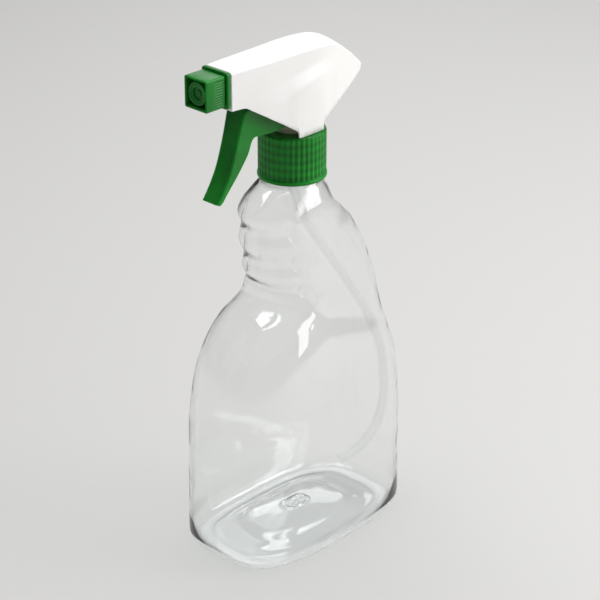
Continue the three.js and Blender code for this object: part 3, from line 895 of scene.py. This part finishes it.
@dataclass
class Closure:
    """Ribbed screw closure with a plain bead at its foot and an internal thread."""

    lift: float
    r: float = 17.35
    bead_r: float = 17.75
    height: float = 25.2
    roof: float = 1.9
    root_r: float = 14.3
    crest_r: float = 12.9
    bore_r: float = 9.6
    ribs: int = 40
    rib_depth: float = 0.45
    sides: int = 400
    thread: Thread = Thread(low=8.6 - THREAD_PITCH / 2, turns=1.3)

    def ribbed(self, z: float, radius: float, depth: float) -> Ring:
        """A ring whose radius dips between the ribs.

        Args:
            z: Its height.
            radius: Radius on the ribs.
            depth: How far it dips between them.

        Returns:
            The ring.
        """
        points = []
        for i in range(self.sides):
            angle = TURN * i / self.sides
            dip = 0.5 - 0.5 * math.cos(self.ribs * angle)
            r = radius - depth * dip
            points.append((r * math.cos(angle), r * math.sin(angle), z))
        return points

    def inside(self, z: float) -> Ring:
        """A ring of the threaded inner wall.

        Args:
            z: Its height.

        Returns:
            The ring.
        """
        points = []
        for i in range(self.sides):
            angle = TURN * i / self.sides
            r = self.root_r - (self.root_r - self.crest_r) * self.thread.ridge(angle, z)
            points.append((r * math.cos(angle), r * math.sin(angle), z))
        return points

    def build(self) -> bpy.types.Object:
        """Build the closure as one closed wall.

        Returns:
            The closure.
        """
        bead, height, inner = self.bead_r, self.height, self.root_r
        foot = [
            (inner, 0.3), (inner + 0.3, 0), (bead - 0.5, 0), (bead - 0.15, 0.15), (bead, 0.5), (bead, 1.5),
            (bead - 0.12, 1.85), (self.r - 0.25, 2.1),
        ]
        rings = [circle(r, self.sides, z) for r, z in foot]
        for z, share in ((2.3, 0.2), (2.6, 0.7), (3.0, 1), (8, 1), (14, 1), (20, 1), (23.4, 1), (24, 0.8)):
            rings.append(self.ribbed(z, self.r, self.rib_depth * share))
        round_r, round_z = 1.2, 24
        for k in range(5):
            a = math.pi / 2 * (k + 1) / 5
            radius = self.r - round_r * (1 - math.cos(a))
            depth = self.rib_depth * 0.6 * (1 - k / 4)
            rings.append(self.ribbed(round_z + round_r * math.sin(a), radius, depth))
        under = height - self.roof
        top = [
            (self.bore_r + 0.3, height), (self.bore_r, height - 0.3), (self.bore_r, under + 0.2),
            (self.bore_r + 0.2, under), (inner - 0.3, under), (inner, under - 0.3),
        ]
        rings += [circle(r, self.sides, z) for r, z in top]
        rings += [self.inside(float(z)) for z in np.linspace(20, 1, 72)]
        builder = MeshBuilder()
        builder.skin(rings, loop=True)
        return builder.build("ribbed_closure", self.lift, sharp=50)


@dataclass(frozen=True)
class TurnedPart:
    """A small turned moulding: its rounded profile, its axis and where it rides."""

    name: str
    node: str
    body: str
    finish: Finish
    profile: Profile
    axis_z: float | None = None
    shift_x: float = 0.0
    radius: float = 0.25

    def build(self, lift: float) -> bpy.types.Object:
        """Turn the rounded profile about Z, or about X where axis_z is set.

        Args:
            lift: Height of the closure's lower edge.

        Returns:
            The piece.
        """
        on_axis = self.profile[0][0] == 0
        outline = filleted(self.profile, self.radius, 3, closed=not on_axis)
        matrix = Matrix.Translation((self.shift_x, 0, 0)) if self.axis_z is None else along_x(self.axis_z)
        builder = MeshBuilder()
        builder.turned(outline, 72, matrix)
        return builder.build(self.name, lift, sharp=45)


# Pump head


@dataclass
class PumpBody:
    """Cream moulding: flange, neck, spigot, cylinder, riser, barrel and the trigger's trunnions."""

    lift: float
    riser_x: float = 11.5
    pin_r: float = 1.9
    pin_half: float = 7.9

    def build(self) -> bpy.types.Object:
        """Build the moulding.

        Returns:
            The pump body.
        """
        builder = MeshBuilder()
        # spigot, flange and neck: radius and height
        foot = [
            (3.1, 1), (4.25, 1), (4.25, 20.9), (13.3, 20.9), (13.3, 23), (9.2, 23), (9.2, 27.6), (8.2, 28.6),
            (0, 28.6),
        ]
        builder.turned([(0, 19.9), (3.1, 19.9), *filleted(foot, 0.35, 3, closed=False)], 96)
        # cylinder and barrel: radius and distance along X
        cylinder = [(0, 10.2), (6.5, 10.2), (6.5, -9), (5.5, -9), (5.5, 8.6), (0, 8.6)]
        builder.turned(filleted(cylinder, 0.3, 3, closed=False), 96, along_x(CYLINDER_Z))
        barrel = [
            (0, 12), (4.5, 12), (4.5, -57.2), (2.6, -57.2), (2.6, -42.5), (1.6, -42.5), (1.6, 10), (0, 10),
        ]
        builder.turned(filleted(barrel, 0.3, 3, closed=False), 72, along_x(BARREL_Z))
        # the block under the cylinder, the riser up to the barrel, and the two ears that hold the pivot pin
        builder.bar((-8, -4.6, 27.6), (9.5, 4.6, 32), 1)
        builder.bar((self.riser_x - 3.5, -3.6, CYLINDER_Z - 5), (self.riser_x + 3.5, 3.6, BARREL_Z + 5), 1)
        for y in (-6.4, 2.0):
            builder.bar((PIVOT_X - 3.6, y, PIVOT_Z - 3), (PIVOT_X + 3.6, y + 4.4, BARREL_Z - 2), 0.8)
        r, end = self.pin_r, self.pin_half
        pin = [(0, -end), (r, -end), (r, end), (0, end)]
        builder.turned(filleted(pin, 0.3, 3, closed=False), 32, across_pivot())
        return builder.build("pump_moulding", self.lift, sharp=35)


@dataclass
class Trigger:
    """Finger lever: a hollow-backed blade that spreads into two cheeks on the trunnions."""

    lift: float
    wall: float = 1.15
    corner: float = 1.5
    crown: float = 0.27
    pivot_r: float = 2.15
    rows: int = 96
    side_steps: int = 14

    # station, front x, front z, rear x, rear z, front half width, rear half width
    stations = (
        (0.0, -57.9, 1.9, -55.6, 0.7, 5.2, 5.2),
        (0.4, -56.7, 3.4, -53.7, 1.9, 5.4, 5.4),
        (1.0, -53.9, 7.1, -50.8, 5.6, 5.6, 5.6),
        (2.0, -48.9, 16.0, -43.2, 13.8, 5.6, 5.6),
        (3.0, -45.4, 25.5, -36.6, 22.4, 5.6, 5.7),
        (4.0, -42.9, 33.5, -32.6, 30.0, 5.7, 5.9),
        (5.0, -40.8, 40.5, -24.0, 30.4, 6.0, 7.2),
        (6.0, -38.6, 45.4, -13.0, 31.2, 6.8, 7.9),
        (7.0, -36.0, 46.9, -11.9, 38.0, 7.5, 8.0),
        (8.0, -29.0, 48.0, -13.6, 45.5, 8.0, 8.0),
        (9.0, -24.4, 53.2, -15.6, 53.6, 8.0, 8.0),
        (10.0, -21.6, 56.8, -18.0, 56.8, 8.0, 8.0),
    )
    strip_end: float = 6.3

    def rim(self, station: float) -> tuple[Vector, Vector, float, float]:
        """The blade's front and rear points and half widths at a station.

        Args:
            station: Where along the blade.

        Returns:
            The front point, the rear point, and the half widths there.
        """
        fx, fz, rx, rz, front_half, rear_half = hermite(self.stations, station)
        return Vector((fx, 0, fz)), Vector((rx, 0, rz)), front_half, rear_half

    def section(self, station: float) -> Ring:
        """One row across the blade, from the left rear edge round the front to the right rear edge.

        Args:
            station: Where along the blade.

        Returns:
            The row's points.
        """
        front, rear, front_half, rear_half = self.rim(station)
        depth = (rear - front).length
        outward = (front - rear).normalized()
        corner = min(self.corner, 0.4 * depth)
        half = []
        for k in range(9):
            t = k / 8
            y = (front_half - corner) * t
            half.append((front + outward * (-self.crown * (1 - t * t)), y))
        for k in range(1, 7):
            a = math.pi / 2 * k / 6
            y = front_half - corner + corner * math.sin(a)
            half.append((front - outward * corner * (1 - math.cos(a)), y))
        for k in range(1, self.side_steps + 1):
            t = corner / depth + (1 - corner / depth) * k / self.side_steps
            width = front_half + (rear_half - front_half) * smoothstep(0.1, 0.8, t)
            half.append((front.lerp(rear, t), width))
        right = [(p.x, y, p.z) for p, y in half]
        left = [(p.x, -y, p.z) for p, y in half[1:]][::-1]
        return left + right

    def build(self) -> bpy.types.Object:
        """Build the trigger: the outer skin, thickened inwards, with its pivot holes cut.

        Returns:
            The trigger.
        """
        builder = MeshBuilder()
        steps = [10 * k / self.rows for k in range(self.rows + 1)]
        blade = [s for s in steps if s <= self.strip_end]
        cheeks = [s for s in steps if s >= blade[-1]]
        rows = [self.section(s) for s in blade]
        builder.skin(rows, wrap=False)
        cheek = self.side_steps + 1
        for side in (slice(0, cheek), slice(-cheek, None)):
            builder.skin([self.section(s)[side] for s in cheeks], wrap=False)
        skin = builder.build("finger_trigger", self.lift)
        shell = skin.modifiers.new("wall", "SOLIDIFY")
        shell.thickness = self.wall * MM
        shell.offset = -1
        shell.use_even_offset = True
        applied(skin)
        hole = MeshBuilder()
        hole.turned([(0, -12), (self.pivot_r, -12), (self.pivot_r, 12), (0, 12)], 40, across_pivot())
        carved(skin, hole.build("pivot_cutter", self.lift))
        settle(skin, 38)
        return skin


@dataclass
class Shroud:
    """White cover: a square front, long cambered top, two soft flank ridges and a bevelled tail."""

    lift: float
    wall: float = 1.0
    chin_end: float = -43.0
    corner: float = 1.6
    rows: int = 150
    hole_r: float = 5.0
    rim: float = 0.25

    # x, top height, fall to the edge, top half width, ridge half width, ridge height, flank half width,
    # flank height, hem half width
    stations = (
        (-50.4, 69, 0.1, 9.2, 9.25, 55, 9.25, 51, 9.2),
        (-42, 69.1, 0.2, 9.5, 9.7, 52.3, 9.75, 50.5, 9.7),
        (-30, 69.3, 0.5, 10.1, 10.4, 54, 11, 47.5, 11.2),
        (-18, 69.6, 0.8, 10.5, 11, 56, 12.6, 46.8, 12.9),
        (-9, 69.8, 0.9, 10.75, 11.4, 57.9, 13.7, 50.1, 14.4),
        (0, 70, 1, 11, 11.7, 59.4, 14, 52.4, 14.6),
        (8, 70, 1.2, 11, 11.6, 60.8, 13.6, 53.8, 14.2),
        (18, 69.8, 1.9, 10.6, 11, 62, 12, 55.4, 12.4),
        (20.5, 68.7, 1.8, 10.4, 10.8, 62, 11.6, 55.3, 11.9),
        (26, 65, 1.4, 9.8, 10, 60.4, 10.4, 54.5, 10.6),
        (34, 59, 1.2, 8.5, 8.6, 55.6, 8.7, 51, 8.7),
        (40.6, 53.6, 1, 6.9, 7, 51, 7, 48.4, 6.9),
        (43.8, 50.8, 0.8, 5.8, 5.9, 49, 5.9, 48, 5.7),
        (45.8, 48.9, 0.6, 4.4, 4.5, 48, 4.5, 47.8, 4.4),
    )
    hem_line = (
        (-50.4, 49.4), (-43, 49.1), (-41, 48.6), (-30, 41.9), (-18, 34.4), (-12, 30.5), (-9.9, 29.1),
        (-9.4, 28.5), (-9.1, 25.6), (8, 25.6), (8.3, 29.6), (8.8, 30.3), (18, 34.5), (26, 38.2), (34, 41.9),
        (40.6, 44.9), (43.8, 46.4), (45.8, 47.4),
    )

    def section(self, x: float) -> Ring:
        """One row over the cover, from the left hem over the top to the right hem.

        Args:
            x: Where along the cover.

        Returns:
            The row's points.
        """
        top, fall, top_half, ridge_half, ridge, flank_half, flank, hem_half = hermite(self.stations, x)
        hem = float(np.interp(x, *zip(*self.hem_line)))
        edge = top - fall
        half = [
            (0, top), (top_half * 0.55, top - 0.25 * fall), (top_half, edge), (ridge_half, ridge),
            (flank_half, flank), (hem_half, hem),
        ]
        height = edge - hem
        radii = [0, 6, min(self.corner, 0.2 * height), min(1.2, 0.1 * height), min(1.6, 0.1 * height)]
        steps = [0, 3, 7, 6, 6]
        points: Outline = [half[0]]
        for i in range(1, 5):
            corner = self.arc(half[i - 1], half[i], half[i + 1], radii[i], steps[i])
            start, end = Vector(points[-1]), Vector(corner[0])
            points += [tuple(start.lerp(end, k / 4)) for k in range(1, 4)]
            points += corner
        start, end = Vector(points[-1]), Vector(half[5])
        points += [tuple(start.lerp(end, k / 8)) for k in range(1, 9)]
        return [(x, -y, z) for y, z in points[:0:-1]] + [(x, y, z) for y, z in points]

    @staticmethod
    def arc(before: Point, corner: Point, after: Point, radius: float, steps: int) -> Outline:
        """A corner rounded by a smooth arc of a fixed number of steps.

        Args:
            before: The point before the corner.
            corner: The corner.
            after: The point after it.
            radius: How far from the corner the arc starts and ends, where there is room.
            steps: The arc's steps.

        Returns:
            The arc's points.
        """
        mid = Vector(corner)
        start = Vector(before) - mid
        end = Vector(after) - mid
        reach = min(radius, 0.48 * start.length, 0.48 * end.length)
        p0 = mid + start.normalized() * reach
        p2 = mid + end.normalized() * reach
        points = []
        for k in range(steps + 1):
            t = k / steps
            points.append(tuple((1 - t) ** 2 * p0 + 2 * t * (1 - t) * mid + t**2 * p2))
        return points

    def build(self) -> bpy.types.Object:
        """Build the cover: the outer skin with its front plate and chin, thickened inwards.

        Returns:
            The shroud.
        """
        builder = MeshBuilder()
        first, last = self.stations[0][0], self.stations[-1][0]
        even = np.linspace(first, last, self.rows)
        places = sorted({*(round(float(x), 3) for x in even), *(x for x, _ in self.hem_line)})
        rows = [self.section(x) for x in places]
        builder.skin(rows, wrap=False)
        chin_rows = [row for x, row in zip(places, rows) if x <= self.chin_end]
        chin = []
        for row in chin_rows:
            right, left = Vector(row[-1]), Vector(row[0])
            chin.append([tuple(right.lerp(left, k / 10)) for k in range(11)])
        builder.skin(chin, wrap=False)
        loop = [*rows[0], *chin[0][1:-1]]
        hole = []
        for _, y, z in loop:
            a = math.atan2(z - BARREL_Z, y)
            hole.append((first, self.hole_r * math.cos(a), BARREL_Z + self.hole_r * math.sin(a)))
        builder.skin([hole, loop])
        end = rows[-1]
        builder.points.append(tuple(float(v) for v in np.mean(end, axis=0)))
        middle = len(builder.points) - 1
        start = len(builder.points)
        builder.points.extend(end)
        builder.faces.extend((start + j, start + j + 1, middle) for j in range(len(end) - 1))
        skin = builder.build("pump_cover", self.lift)
        shell = skin.modifiers.new("wall", "SOLIDIFY")
        shell.thickness = self.wall * MM
        shell.offset = -1
        rim = skin.modifiers.new("rim", "BEVEL")
        rim.width = self.rim * MM
        rim.segments = 2
        rim.limit_method = "ANGLE"
        rim.angle_limit = math.radians(60)
        applied(skin)
        settle(skin, 50)
        return skin


@dataclass
class Nozzle:
    """Square turning nozzle: thin-walled recess in front, ribbed sides, a groove and a collar."""

    lift: float
    front: float = -65.4
    floor: float = -61.2
    back: float = -53.4
    collar_front: float = -52.9
    collar_back: float = -50.9
    half_y: float = 7.7
    half_z: float = 8.0
    wall: float = 1.2
    rib_pitch: float = 1.3
    rib_depth: float = 0.2
    per_side: int = 132

    def ring(self, x: float, half_y: float, half_z: float, corner: float, ribs: float = 0.0) -> Ring:
        """A rounded square across X, with ribs on its two sides.

        Args:
            x: Where along the nozzle.
            half_y: Half width.
            half_z: Half height.
            corner: Corner radius; half the width makes a circle.
            ribs: Share of the ribs' depth.

        Returns:
            The ring's points.
        """
        flat_y, flat_z = half_y - corner, half_z - corner
        centres = [(flat_y, flat_z), (-flat_y, flat_z), (-flat_y, -flat_z), (flat_y, -flat_z)]
        points = []
        for quarter, (cy, cz) in enumerate(centres):
            a0 = quarter * math.pi / 2
            next_cy, next_cz = centres[(quarter + 1) % 4]
            for k in range(9):
                a = a0 + math.pi / 2 * k / 8
                points.append((cy + corner * math.cos(a), cz + corner * math.sin(a)))
            out_y, out_z = corner * math.cos(a0 + math.pi / 2), corner * math.sin(a0 + math.pi / 2)
            end = (cy + out_y, cz + out_z)
            start = (next_cy + out_y, next_cz + out_z)
            for k in range(1, self.per_side):
                t = k / self.per_side
                points.append((end[0] + (start[0] - end[0]) * t, end[1] + (start[1] - end[1]) * t))
        ring = []
        for y, z in points:
            if ribs and abs(z) < half_z - 1.3 and abs(y) > half_y - 0.2:
                cut = ribs * self.rib_depth * (0.5 - 0.5 * math.cos(TURN * z / self.rib_pitch))
                y -= math.copysign(cut * (1 - smoothstep(half_z - 2.2, half_z - 1.4, abs(z))), y)
            ring.append((x, y, BARREL_Z + z))
        return ring

    def build(self) -> bpy.types.Object:
        """Build the nozzle as one closed wall round its bore.

        Returns:
            The nozzle.
        """
        hy, hz = self.half_y, self.half_z
        iy, iz = hy - self.wall, hz - self.wall
        front, floor, back = self.front, self.floor, self.back
        near, far = self.collar_front, self.collar_back
        # x, half width, half height and corner radius, from the bore over the recess to the outside
        rows = [
            (floor + 1.5, 3.3, 3.3, 3.3),
            (floor + 0.1, 3.3, 3.3, 3.3),
            (floor, 3.4, 3.4, 3.4),
            (floor, iy - 0.3, iz - 0.3, 0.6),
            (floor - 0.3, iy, iz, 0.7),
            (front + 0.3, iy + 0.08, iz + 0.08, 0.7),
            (front, iy + 0.3, iz + 0.3, 0.8),
            (front, hy - 0.4, hz - 0.4, 0.8),
            (front + 0.12, hy - 0.12, hz - 0.12, 0.9),
            (front + 0.4, hy, hz, 1.0),
            (-60.6, hy, hz, 1.0),
        ]
        rings = [self.ring(*row) for row in rows]
        ribbed = (
            (-60.3, 0.0), (-59.9, 0.7), (-59.4, 1.0), (-57.5, 1.0), (-55.4, 1.0), (-54.7, 0.7), (-54.2, 0.0),
        )
        rings += [self.ring(x, hy, hz, 1.0, share) for x, share in ribbed]
        # the same, from the groove over the collar and back along the barrel's bore
        tail = [
            (back - 0.2, hy, hz, 1.0),
            (back, hy - 0.2, hz - 0.2, 0.9),
            (back, hy - 0.7, hz - 0.7, 0.8),
            (near, hy - 0.7, hz - 0.7, 0.8),
            (near, 8.6, 8.9, 1.6),
            (near + 0.15, 8.9, 9.2, 1.8),
            (near + 0.4, 9.0, 9.3, 1.9),
            (far - 0.4, 9.0, 9.3, 1.9),
            (far - 0.1, 8.9, 9.2, 1.8),
            (far, 8.65, 8.95, 1.6),
            (far, 4.9, 4.9, 4.9),
            (far - 0.2, 4.8, 4.8, 4.8),
            (floor + 1.6, 4.8, 4.8, 4.8),
            (floor + 1.5, 4.7, 4.7, 4.7),
        ]
        rings += [self.ring(*row) for row in tail]
        builder = MeshBuilder()
        builder.skin(rings, loop=True)
        return builder.build("square_nozzle", self.lift, sharp=42)


@dataclass(frozen=True)
class Coil:
    """A wire coil along X with closed end turns, and the joint that squeezes it against its seat."""

    name: str
    node: str
    r: float
    wire: float
    low: float
    high: float
    turns: int
    axis_z: float
    joint: str
    anchor: float
    keep: float

    def build(self, lift: float) -> bpy.types.Object:
        """Sweep the wire along its helix.

        Args:
            lift: Height of the closure's lower edge.

        Returns:
            The coil.
        """
        steps = self.turns * 40
        around = 12
        rings = []
        for i in range(steps + 1):
            t = i / steps
            eased = t - 0.06 * math.sin(TURN * t)
            a = TURN * self.turns * t
            centre = Vector((self.low + (self.high - self.low) * eased, 0, self.axis_z))
            outward = Vector((0, math.cos(a), math.sin(a)))
            ring = []
            for k in range(around):
                b = TURN * k / around
                along = Vector((self.wire * math.sin(b), 0, 0))
                ring.append(tuple(centre + outward * (self.r + self.wire * math.cos(b)) + along))
            rings.append(ring)
        builder = MeshBuilder()
        builder.skin(rings, ends=True)
        return builder.build(self.name, lift, sharp=50)


@dataclass
class DipTube:
    """Pick-up tube: straight in the spigot, bowed to the rear wall and curled above the base."""

    lift: float
    r: float = 2.75
    bore: float = 1.9
    steps: int = 220
    sides: int = 40

    path = (
        (0, 0, 8.9), (0, 0, 2), (1.2, -0.8, -10), (6.5, -2.6, -26), (13, -5, -37), (22.5, -8, -53),
        (33, -10, -69.5), (42.5, -12, -86), (50, -13, -102), (55.5, -13.5, -117), (58, -13.5, -134),
        (58, -13, -148), (54.5, -12, -161), (47.5, -10, -170), (39, -8, -175), (31, -6, -177),
    )

    def centre(self, t: float) -> Vector:
        """A point of the tube's centre line by a Catmull-Rom curve through its path.

        Args:
            t: Where along the tube, from 0 at its top to 1.

        Returns:
            The point.
        """
        spans = len(self.path) - 1
        i = min(int(t * spans), spans - 1)
        u = t * spans - i
        a, b, c, d = (Vector(self.path[min(max(i + k, 0), spans)]) for k in (-1, 0, 1, 2))
        square = 2 * a - 5 * b + 4 * c - d
        cube = 3 * b - a - 3 * c + d
        return 0.5 * (2 * b + (c - a) * u + square * u**2 + cube * u**3)

    def build(self) -> bpy.types.Object:
        """Sweep the tube's wall along its path.

        Returns:
            The tube.
        """
        centres = [self.centre(i / self.steps) for i in range(self.steps + 1)]
        side = Vector((0, 1, 0))
        frames = []
        for i, point in enumerate(centres):
            along = (centres[min(i + 1, self.steps)] - centres[max(i - 1, 0)]).normalized()
            side = (side - along * side.dot(along)).normalized()
            frames.append((point, side, along.cross(side)))

        def ring(frame: tuple[Vector, Vector, Vector], r: float) -> Ring:
            """A ring round the centre line.

            Args:
                frame: Its centre and the two directions across the tube there.
                r: Its radius.

            Returns:
                The ring.
            """
            point, u, v = frame
            angles = [TURN * k / self.sides for k in range(self.sides)]
            return [tuple(point + r * (u * math.cos(a) + v * math.sin(a))) for a in angles]

        mouth = self.r - 0.1
        rings = [ring(frames[0], mouth), *(ring(f, self.r) for f in frames), ring(frames[-1], mouth)]
        rings += [ring(f, self.bore) for f in reversed(frames)]
        builder = MeshBuilder()
        builder.skin(rings, loop=True)
        return builder.build("pick_up_tube", self.lift, sharp=50)


# Studio


@dataclass
class Studio:
    """Pale seamless floor, soft lamps and the camera."""

    target: tuple[float, float, float] = (0.0, 0.0, 0.144)
    azimuth: float = -45.74
    elevation: float = 25.54
    distance: float = 1.0684
    lens: float = 123.8
    shift: tuple[float, float] = (0.0132, -0.0323)

    def camera(self) -> None:
        """Put the camera at the viewing angle."""
        a, e = math.radians(self.azimuth), math.radians(self.elevation)
        back = Vector((math.sin(a) * math.cos(e), -math.cos(a) * math.cos(e), math.sin(e)))
        data = bpy.data.cameras.new("camera")
        data.lens = self.lens
        data.sensor_width = 36
        data.shift_x, data.shift_y = self.shift
        data.clip_end = 50
        camera = bpy.data.objects.new("camera", data)
        camera.location = Vector(self.target) + back * self.distance
        camera.rotation_euler = back.to_track_quat("Z", "Y").to_euler()
        bpy.context.scene.collection.objects.link(camera)
        bpy.context.scene.camera = camera

    def floor(self) -> None:
        """Lay the sweep: a flat floor that curves up far behind on every side."""
        count = 96
        sweep = ((0.3, 0), (1.0, 0), (2.4, 0), (3.4, 0), (4.0, 0.12), (4.5, 0.5), (4.8, 1.1), (4.9, 2.2))
        rings = [[(x / MM, y / MM, z / MM) for x, y, z in circle(r, count, z)] for r, z in sweep]
        builder = MeshBuilder()
        builder.skin(rings)
        start = len(builder.points)
        builder.points.append((0, 0, 0))
        builder.faces.extend((j, (j + 1) % count, start) for j in range(count))
        floor = builder.build("studio_floor", sharp=80)
        floor.data.materials.append(PaintedSweep().material())

    def lamp(self, name: str, place: Sequence[float], size: Point, watts: float) -> None:
        """Add a rectangular soft lamp that faces the object.

        Args:
            name: The lamp's name.
            place: Its position in metres.
            size: Its width and height in metres.
            watts: Its power.
        """
        data = bpy.data.lights.new(name, "AREA")
        data.shape = "RECTANGLE"
        data.size, data.size_y = size
        data.energy = watts
        lamp = bpy.data.objects.new(name, data)
        lamp.location = place
        lamp.visible_camera = False
        lamp.rotation_euler = (Vector(place) - Vector((0, 0, 0.12))).to_track_quat("Z", "Y").to_euler()
        bpy.context.scene.collection.objects.link(lamp)

    def light(self) -> None:
        """Set the even surround and the lamps."""
        world = bpy.data.worlds.new("surround")
        world.use_nodes = True
        background = world.node_tree.nodes["Background"].inputs
        background["Color"].default_value = linear("e9eaeb")
        background["Strength"].default_value = 0.375
        bpy.context.scene.world = world
        bpy.context.scene.view_settings.view_transform = "Standard"
        self.lamp("key_softbox", (0.85, -0.95, 0.9), (0.6, 1.1), 14.5)
        self.lamp("top_softbox", (0.12, 0.2, 1.5), (1.1, 0.9), 12.3)
        self.lamp("rear_softbox", (0.95, 0.85, 0.75), (0.8, 0.6), 2.4)
        self.lamp("strip_softbox", (0.28, -0.74, 0.36), (0.16, 0.44), 0.7)


def turned_parts() -> list[TurnedPart]:
    """The head's small turned pieces, with heights above the closure's lower edge.

    Returns:
        The pieces' descriptions.
    """
    ball = [(1.8 * math.sin(math.pi * k / 24), 14.85 - 1.8 * math.cos(math.pi * k / 24)) for k in range(25)]
    return [
        TurnedPart("neck_gasket", "bottle_gasket", "head", Finish.SOFT_PE, [
            (8.6, 19.25), (13.4, 19.25), (13.4, 20.6), (8.6, 20.6),
        ]),
        TurnedPart("riser_plug", "body_plug", "head", Finish.CREAM_PP, [
            (0, 61.2), (1.2, 61.2), (1.2, 65.1), (2.6, 65.1), (2.6, 66.3), (0, 66.3),
        ], shift_x=11.5),
        TurnedPart("inlet_seat", "ball_seat", "head", Finish.NATURAL_PE, [
            (1.2, 9.3), (2.8, 9.3), (2.8, 14.4), (2.2, 14.4), (1.2, 13.2),
        ], radius=0.15),
        TurnedPart("check_ball", "inlet_ball", "inlet_ball", Finish.STEEL, ball, radius=0.01),
        TurnedPart("plunger", "piston", "piston", Finish.NATURAL_PE, [
            (0, -32), (1.4, -31.5), (2.4, -30), (2.4, -8.4), (5.2, -7.4), (5.2, -5.4), (1.6, -5.4),
            (1.6, -2.6), (0, -2.6),
        ], axis_z=CYLINDER_Z),
        TurnedPart("plunger_cup", "piston_cup", "piston", Finish.SOFT_PE, [
            (1.9, -5.1), (5.2, -5.1), (5.4, -2.2), (4.4, -2.2), (4, -3.6), (1.9, -3.6),
        ], axis_z=CYLINDER_Z, radius=0.12),
        TurnedPart("spray_insert", "orifice_disc", "nozzle", Finish.GREEN_PP, [
            (0.4, -63.7), (1.4, -63.7), (1.7, -63.0), (3.2, -63.0), (3.5, -64.0), (4.5, -64.0), (4.8, -64.5),
            (5.9, -64.5), (5.9, -61.5), (3.0, -61.5), (3.0, -59.4), (0.4, -59.4),
        ], axis_z=BARREL_Z, radius=0.15),
        TurnedPart("nozzle_ring", "nozzle_seal", "nozzle", Finish.SOFT_PE, [
            (2.9, -58.6), (4.3, -58.6), (4.3, -57.5), (2.9, -57.5),
        ], axis_z=BARREL_Z),
        TurnedPart("swirl_core", "spinner", "head", Finish.NATURAL_PE, [
            (0, -58.9), (2.2, -58.9), (2.2, -57), (1.5, -56.6), (1.5, -51.5), (2.2, -51), (2.2, -49.4),
            (0, -49.4),
        ], axis_z=BARREL_Z),
        TurnedPart("check_disc", "discharge_disc", "discharge_disc", Finish.NATURAL_PE, [
            (0, -43.6), (2.2, -43.6), (2.2, -42.8), (0, -42.8),
        ], axis_z=BARREL_Z),
    ]


def main() -> None:
    """Build every sub-assembly in order and dress it."""
    logging.basicConfig(level=logging.INFO, format="%(message)s")
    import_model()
    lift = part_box("closure_cap")[0].z / MM
    studio = Studio()
    studio.camera()
    shop = Workshop()

    shop.dress(Bottle(closure_z=lift).build(), "bottle", "bottle", Finish.CLEAR_PET)
    # the closure takes the copy of the green that is painted lighter, with painted bands of light and shade
    shop.dress(Closure(lift).build(), "closure_cap", "closure", Finish.GREEN_CAP_PP_PAINTED_LIGHT)
    shop.dress(PumpBody(lift).build(), "pump_body", "head", Finish.CREAM_PP)
    shop.dress(DipTube(lift).build(), "dip_tube", "head", Finish.TUBE_PE)
    shop.dress(Trigger(lift).build(), "trigger", "trigger", Finish.GREEN_PP)
    shop.dress(Shroud(lift).build(), "shroud", "head", Finish.WHITE_PP)
    shop.dress(Nozzle(lift).build(), "nozzle", "nozzle", Finish.GREEN_PP)
    for part in turned_parts():
        shop.dress(part.build(lift), part.node, part.body, part.finish)
    coils = [
        Coil(
            "plunger_spring", "return_spring", r=3, wire=0.45, low=-2.9, high=7.9, turns=5, axis_z=CYLINDER_Z,
            joint="piston_stroke", anchor=7.9, keep=0.42,
        ),
        Coil(
            "check_spring", "discharge_spring", r=1.6, wire=0.25, low=-49, high=-44, turns=3, axis_z=BARREL_Z,
            joint="discharge_lift", anchor=-49, keep=0.84,
        ),
    ]
    for coil in coils:
        spring = coil.build(lift)
        shop.dress(spring, coil.node, "head", Finish.STEEL)
        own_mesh(spring)

    studio.floor()
    studio.light()


if __name__ == "__main__":
    main()
